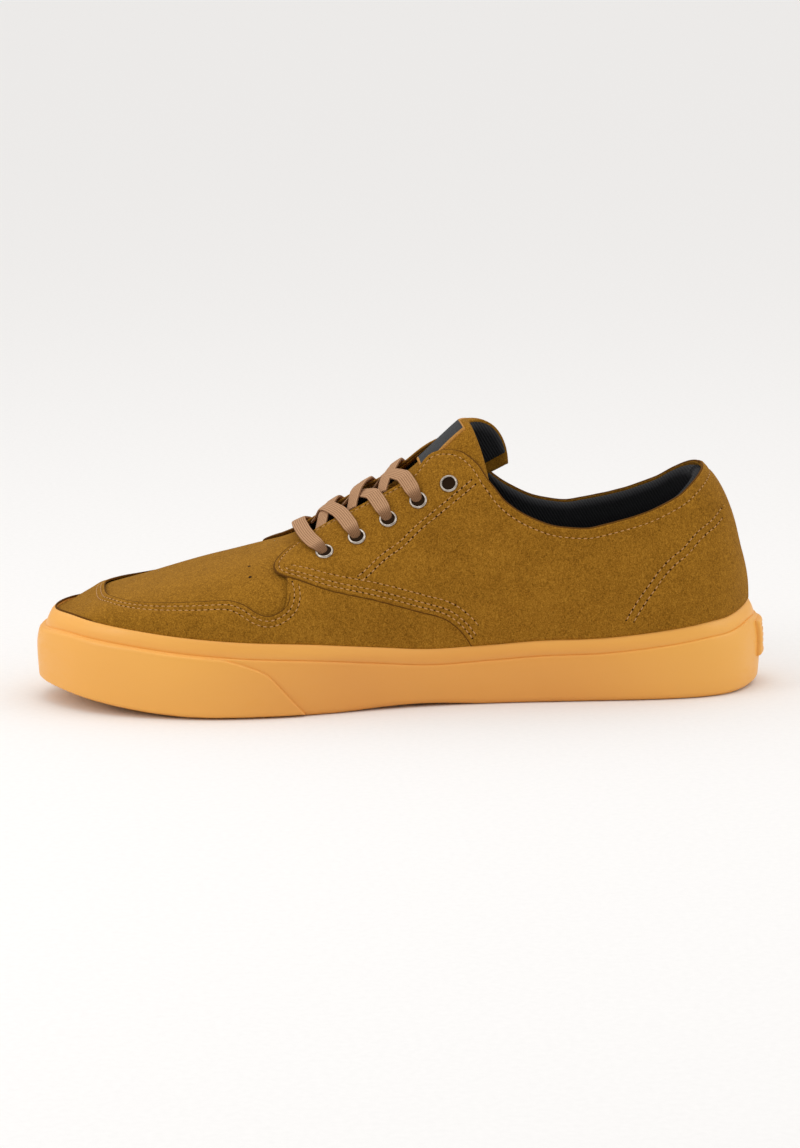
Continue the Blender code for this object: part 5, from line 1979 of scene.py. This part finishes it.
@dataclass
class Stitching:
    """Every row of stitches on the upper, sunk a little in the suede, and dark dots of painted shade in the
    needle and vent holes.
    """
    last: Last
    maker: Maker
    wardrobe: Wardrobe
    panels: Panels
    pitch: float = 0.00255
    share: float = 0.66
    radius: float = 0.00022
    sink: float = 0.00022
    bow: float = 0.00052
    needle: float = 0.00042
    dome: float = 0.00006
    dome_foot: float = 0.0005
    dome_sides: int = 8
    sides: int = 6
    thread: Sequence[tuple[float, float]] = (
        (0.0, 0.35), (0.07, 0.8), (0.25, 1.0), (0.5, 1.0), (0.75, 1.0), (0.93, 0.8), (1.0, 0.35))
    rows: Sequence[StitchRow] = (
        StitchRow(Seam.QUARTER_FRONT, (1.9, 1.9), 0.00, 0.985, (1.0, 0.0, 0.3)),
        StitchRow(Seam.QUARTER_FRONT, (3.9, 3.9), 0.03, 0.975, (1.0, 0.0, 0.3)),
        StitchRow(Seam.QUARTER_FRONT, (7.0, 7.0), 0.09, 0.955, (1.0, 0.0, 0.3)),
        StitchRow(Seam.APRON, (1.9, 1.9), 0.00, 0.965, (-1.0, 0.0, -1.0)),
        StitchRow(Seam.APRON, (4.2, 4.2), 0.00, 0.945, (-1.0, 0.0, -1.0)),
        StitchRow(Seam.THROAT, (1.6, 1.6, 1.8, 2.4, 3.4, 4.0, 4.0, 4.0), 0.01, 1.0, (1.0, 0.0, 0.0)),
        StitchRow(Seam.EYESTAY, (1.2, 1.2), 0.0, 1.0, (1.0, 0.0, -1.0)),
        StitchRow(Seam.EYESTAY, (-1.2, -1.2), 0.0, 1.0, (1.0, 0.0, -1.0)),
        StitchRow(Seam.COUNTER, (0.0, 0.0), 0.0, 0.97, (1.0, 0.0, -1.0)),
        StitchRow(Seam.COUNTER, (3.1, 3.1), 0.04, 0.95, (1.0, 0.0, -1.0)))
    vents: Sequence[tuple[float, float, float]] = ((-65.9, -25.5, 59.3), (-66.1, -34.8, 56.1))
    vent: float = 0.00075

    def line(self, row: StitchRow, side: Side) -> Points:
        """A row's line on the form.

        Args:
            row: The row of stitches.
            side: The side that it is for.

        Returns:
            The line's points in rows.
        """
        seam, normals = self.last.land(row.seam.line(side, 240))
        ahead = np.gradient(seam, axis=0)
        across = np.cross(normals, ahead)
        across /= np.linalg.norm(across, axis=1, keepdims=True)
        if across[0] @ np.array(row.towards) < 0:
            across = -across
        spans = np.linspace(0.0, 1.0, len(row.aside))
        aside = np.interp(np.linspace(0.0, 1.0, len(seam)), spans, row.aside) * MM
        line = seam + across * aside[:, None]
        first = int(row.start * (len(line) - 1))
        final = int(row.finish * (len(line) - 1)) + 1
        return self.last.land(smooth_line(line[first:final:4], 400))[0]

    def lines(self) -> list[Points]:
        """Every row's line, on both sides."""
        return [self.line(row, side) for row in self.rows for side in Side]

    def capsule(self, start: Points, middle: Points, finish: Points, up: Points) -> tuple[Points, list]:
        """A short thread between two needle holes.

        Args:
            start: Its first end.
            middle: The point that bends it outwards.
            finish: Its other end.
            up: The surface's normal.

        Returns:
            Its points and faces.
        """
        side = np.cross(finish - start, up)
        side /= np.linalg.norm(side)
        turn = circle(self.sides)
        ring = turn[:, :1] * side + turn[:, 1:] * up
        rings = []
        for s, width in self.thread:
            spot = (1 - s) ** 2 * start + 2 * s * (1 - s) * middle + s * s * finish
            rings.append(spot + ring * self.radius * width)
        return np.concatenate(rings), tube_faces(len(rings), self.sides)

    def dot(self, spot: Points, up: Points, radius: float) -> tuple[Points, list]:
        """A shallow dark dome of painted shade that reads as a hole.

        Args:
            spot: Its middle.
            up: The surface's normal.
            radius: Its radius.

        Returns:
            Its points and faces.
        """
        side = np.cross(up, (0.31, 0.52, 0.80))
        side /= np.linalg.norm(side)
        turn = circle(self.dome_sides)
        rim = spot + (turn[:, :1] * side + turn[:, 1:] * np.cross(up, side)) * radius
        points = np.concatenate([rim, rim - up * self.dome_foot, [spot + up * self.dome],
                                 [spot - up * self.dome_foot * 1.2]])
        count = self.dome_sides
        pairs = [(k, (k + 1) % count) for k in range(count)]
        faces = [(a, b, 2 * count) for a, b in pairs]
        faces += [(a, a + count, b + count, b) for a, b in pairs]
        faces += [(b + count, a + count, 2 * count + 1) for a, b in pairs]
        return points, faces

    def build(self) -> None:
        """Make the threads, and the dark dots of painted shade in their needle holes and the vents."""
        threads = []
        holes = []
        gap = (1.0 - self.share) / 2
        for line in self.lines():
            count = max(int(reach_of(line) / self.pitch), 1)
            ends = even(line, count + 1)
            spots, normals = self.panels.drop(self.last, ends)
            for i in range(count):
                step = (spots[i + 1] - spots[i]) * gap
                start = spots[i] + step - normals[i] * self.sink
                finish = spots[i + 1] - step - normals[i + 1] * self.sink
                middle = (start + finish) / 2 + normals[i] * self.bow
                threads.append(self.capsule(start, middle, finish, normals[i]))
            # Dark domes of painted shade at every needle hole.
            holes += [self.dot(spot, normal, self.needle) for spot, normal in zip(spots, normals)]
        vents = np.concatenate([other_side(np.array(self.vents) * MM, side) for side in Side])
        spots, normals = self.panels.drop(self.last, vents)
        holes += [self.dot(spot, normal, self.vent) for spot, normal in zip(spots, normals)]
        points, faces = join(threads)
        self.maker.piece("stitches", points, faces, self.wardrobe.thread, "lace_cotton")
        points, faces = join(holes)
        self.maker.piece("needle_and_vent_hole_shade", points, faces, self.wardrobe.hole, "suede", sharp=SOFT_SHARP)


class Lamp(NamedTuple):
    """A soft round light that is aimed at the shoe."""
    name: str
    spot: tuple[float, float, float]
    size: float
    power: float


@dataclass
class Studio:
    """A pale floor, soft light and the photograph's camera."""
    height: int = 1148
    pixels_per_metre: float = 2407.0
    distance: float = 1.6
    azimuth: float = -6.0
    elevation: float = 10.8
    aim: tuple[float, float, float] = (-0.0015, 0.0, 0.048)
    low: float = 0.08
    high: float = 1.10
    wings: float = 0.48
    near: float = 0.30
    floor_color: tuple[float, float, float] = (0.89, 0.88, 0.87)
    floor_reach: float = 40.0
    lamps: Sequence[Lamp] = (
        Lamp("top_light", (-0.15, 0.05, 1.2), 0.6, 1.3),
        Lamp("toe_light", (-1.0, -0.45, 0.55), 0.5, 2.2),
        Lamp("heel_light", (1.1, -0.35, 0.5), 0.5, 1.2))

    def hang(self, lamp: Lamp) -> None:
        """Hang one light.

        Args:
            lamp: Its name, place, size and power.
        """
        light = bpy.data.lights.new(lamp.name, "AREA")
        light.shape = "DISK"
        light.size = lamp.size
        light.energy = lamp.power
        made = bpy.data.objects.new(lamp.name, light)
        made.location = lamp.spot
        towards = Vector(self.aim) - Vector(lamp.spot)
        made.rotation_euler = towards.to_track_quat("-Z", "Y").to_euler()
        bpy.context.scene.collection.objects.link(made)

    def build(self) -> None:
        """Make the floor, the world, the lights and the camera."""
        floor = PlainFinish("studio_floor", self.floor_color, 1.0).make()
        mesh = bpy.data.meshes.new("studio_floor")
        reach = self.floor_reach
        corners = [(-reach, -reach, 0.0), (reach, -reach, 0.0), (reach, reach, 0.0), (-reach, reach, 0.0)]
        mesh.from_pydata(corners, [], [(0, 1, 2, 3)])
        mesh.materials.append(floor)
        ground = bpy.data.objects.new("studio_floor", mesh)
        bpy.context.scene.collection.objects.link(ground)
        Sky("studio_air").shine(self.low, self.high, self.wings, self.near)
        for lamp in self.lamps:
            self.hang(lamp)
        camera = bpy.data.objects.new("camera", bpy.data.cameras.new("camera"))
        turn = math.radians(self.azimuth)
        rise = math.radians(self.elevation)
        back = Vector((math.sin(turn) * math.cos(rise), -math.cos(turn) * math.cos(rise), math.sin(rise)))
        camera.location = Vector(self.aim) + back * self.distance
        camera.rotation_euler = back.to_track_quat("Z", "Y").to_euler()
        tall = self.height / self.pixels_per_metre
        camera.data.sensor_fit = "VERTICAL"
        camera.data.angle_y = 2.0 * math.atan(tall / 2.0 / self.distance)
        camera.data.clip_start = 0.01
        bpy.context.scene.collection.objects.link(camera)
        bpy.context.scene.camera = camera
        bpy.context.scene.view_settings.view_transform = "Standard"


def main() -> None:
    """Build the shoe and its studio."""
    logging.basicConfig(level=logging.INFO, format="%(message)s")
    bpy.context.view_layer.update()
    last = Last()
    maker = Maker()
    wardrobe = Wardrobe()
    Studio().build()
    panels = Panels()
    CupSole(last, maker, wardrobe).build()
    Upper(last, maker, wardrobe, panels).build()
    Collar(last, maker, wardrobe).build()
    Tongue(last, maker, wardrobe).build()
    Eyelets(last, maker, wardrobe, panels).build()
    Laces(last, maker, wardrobe).build()
    Stitching(last, maker, wardrobe, panels).build()
    log.info("%d pieces", maker.count)


if __name__ == "__main__":
    main()
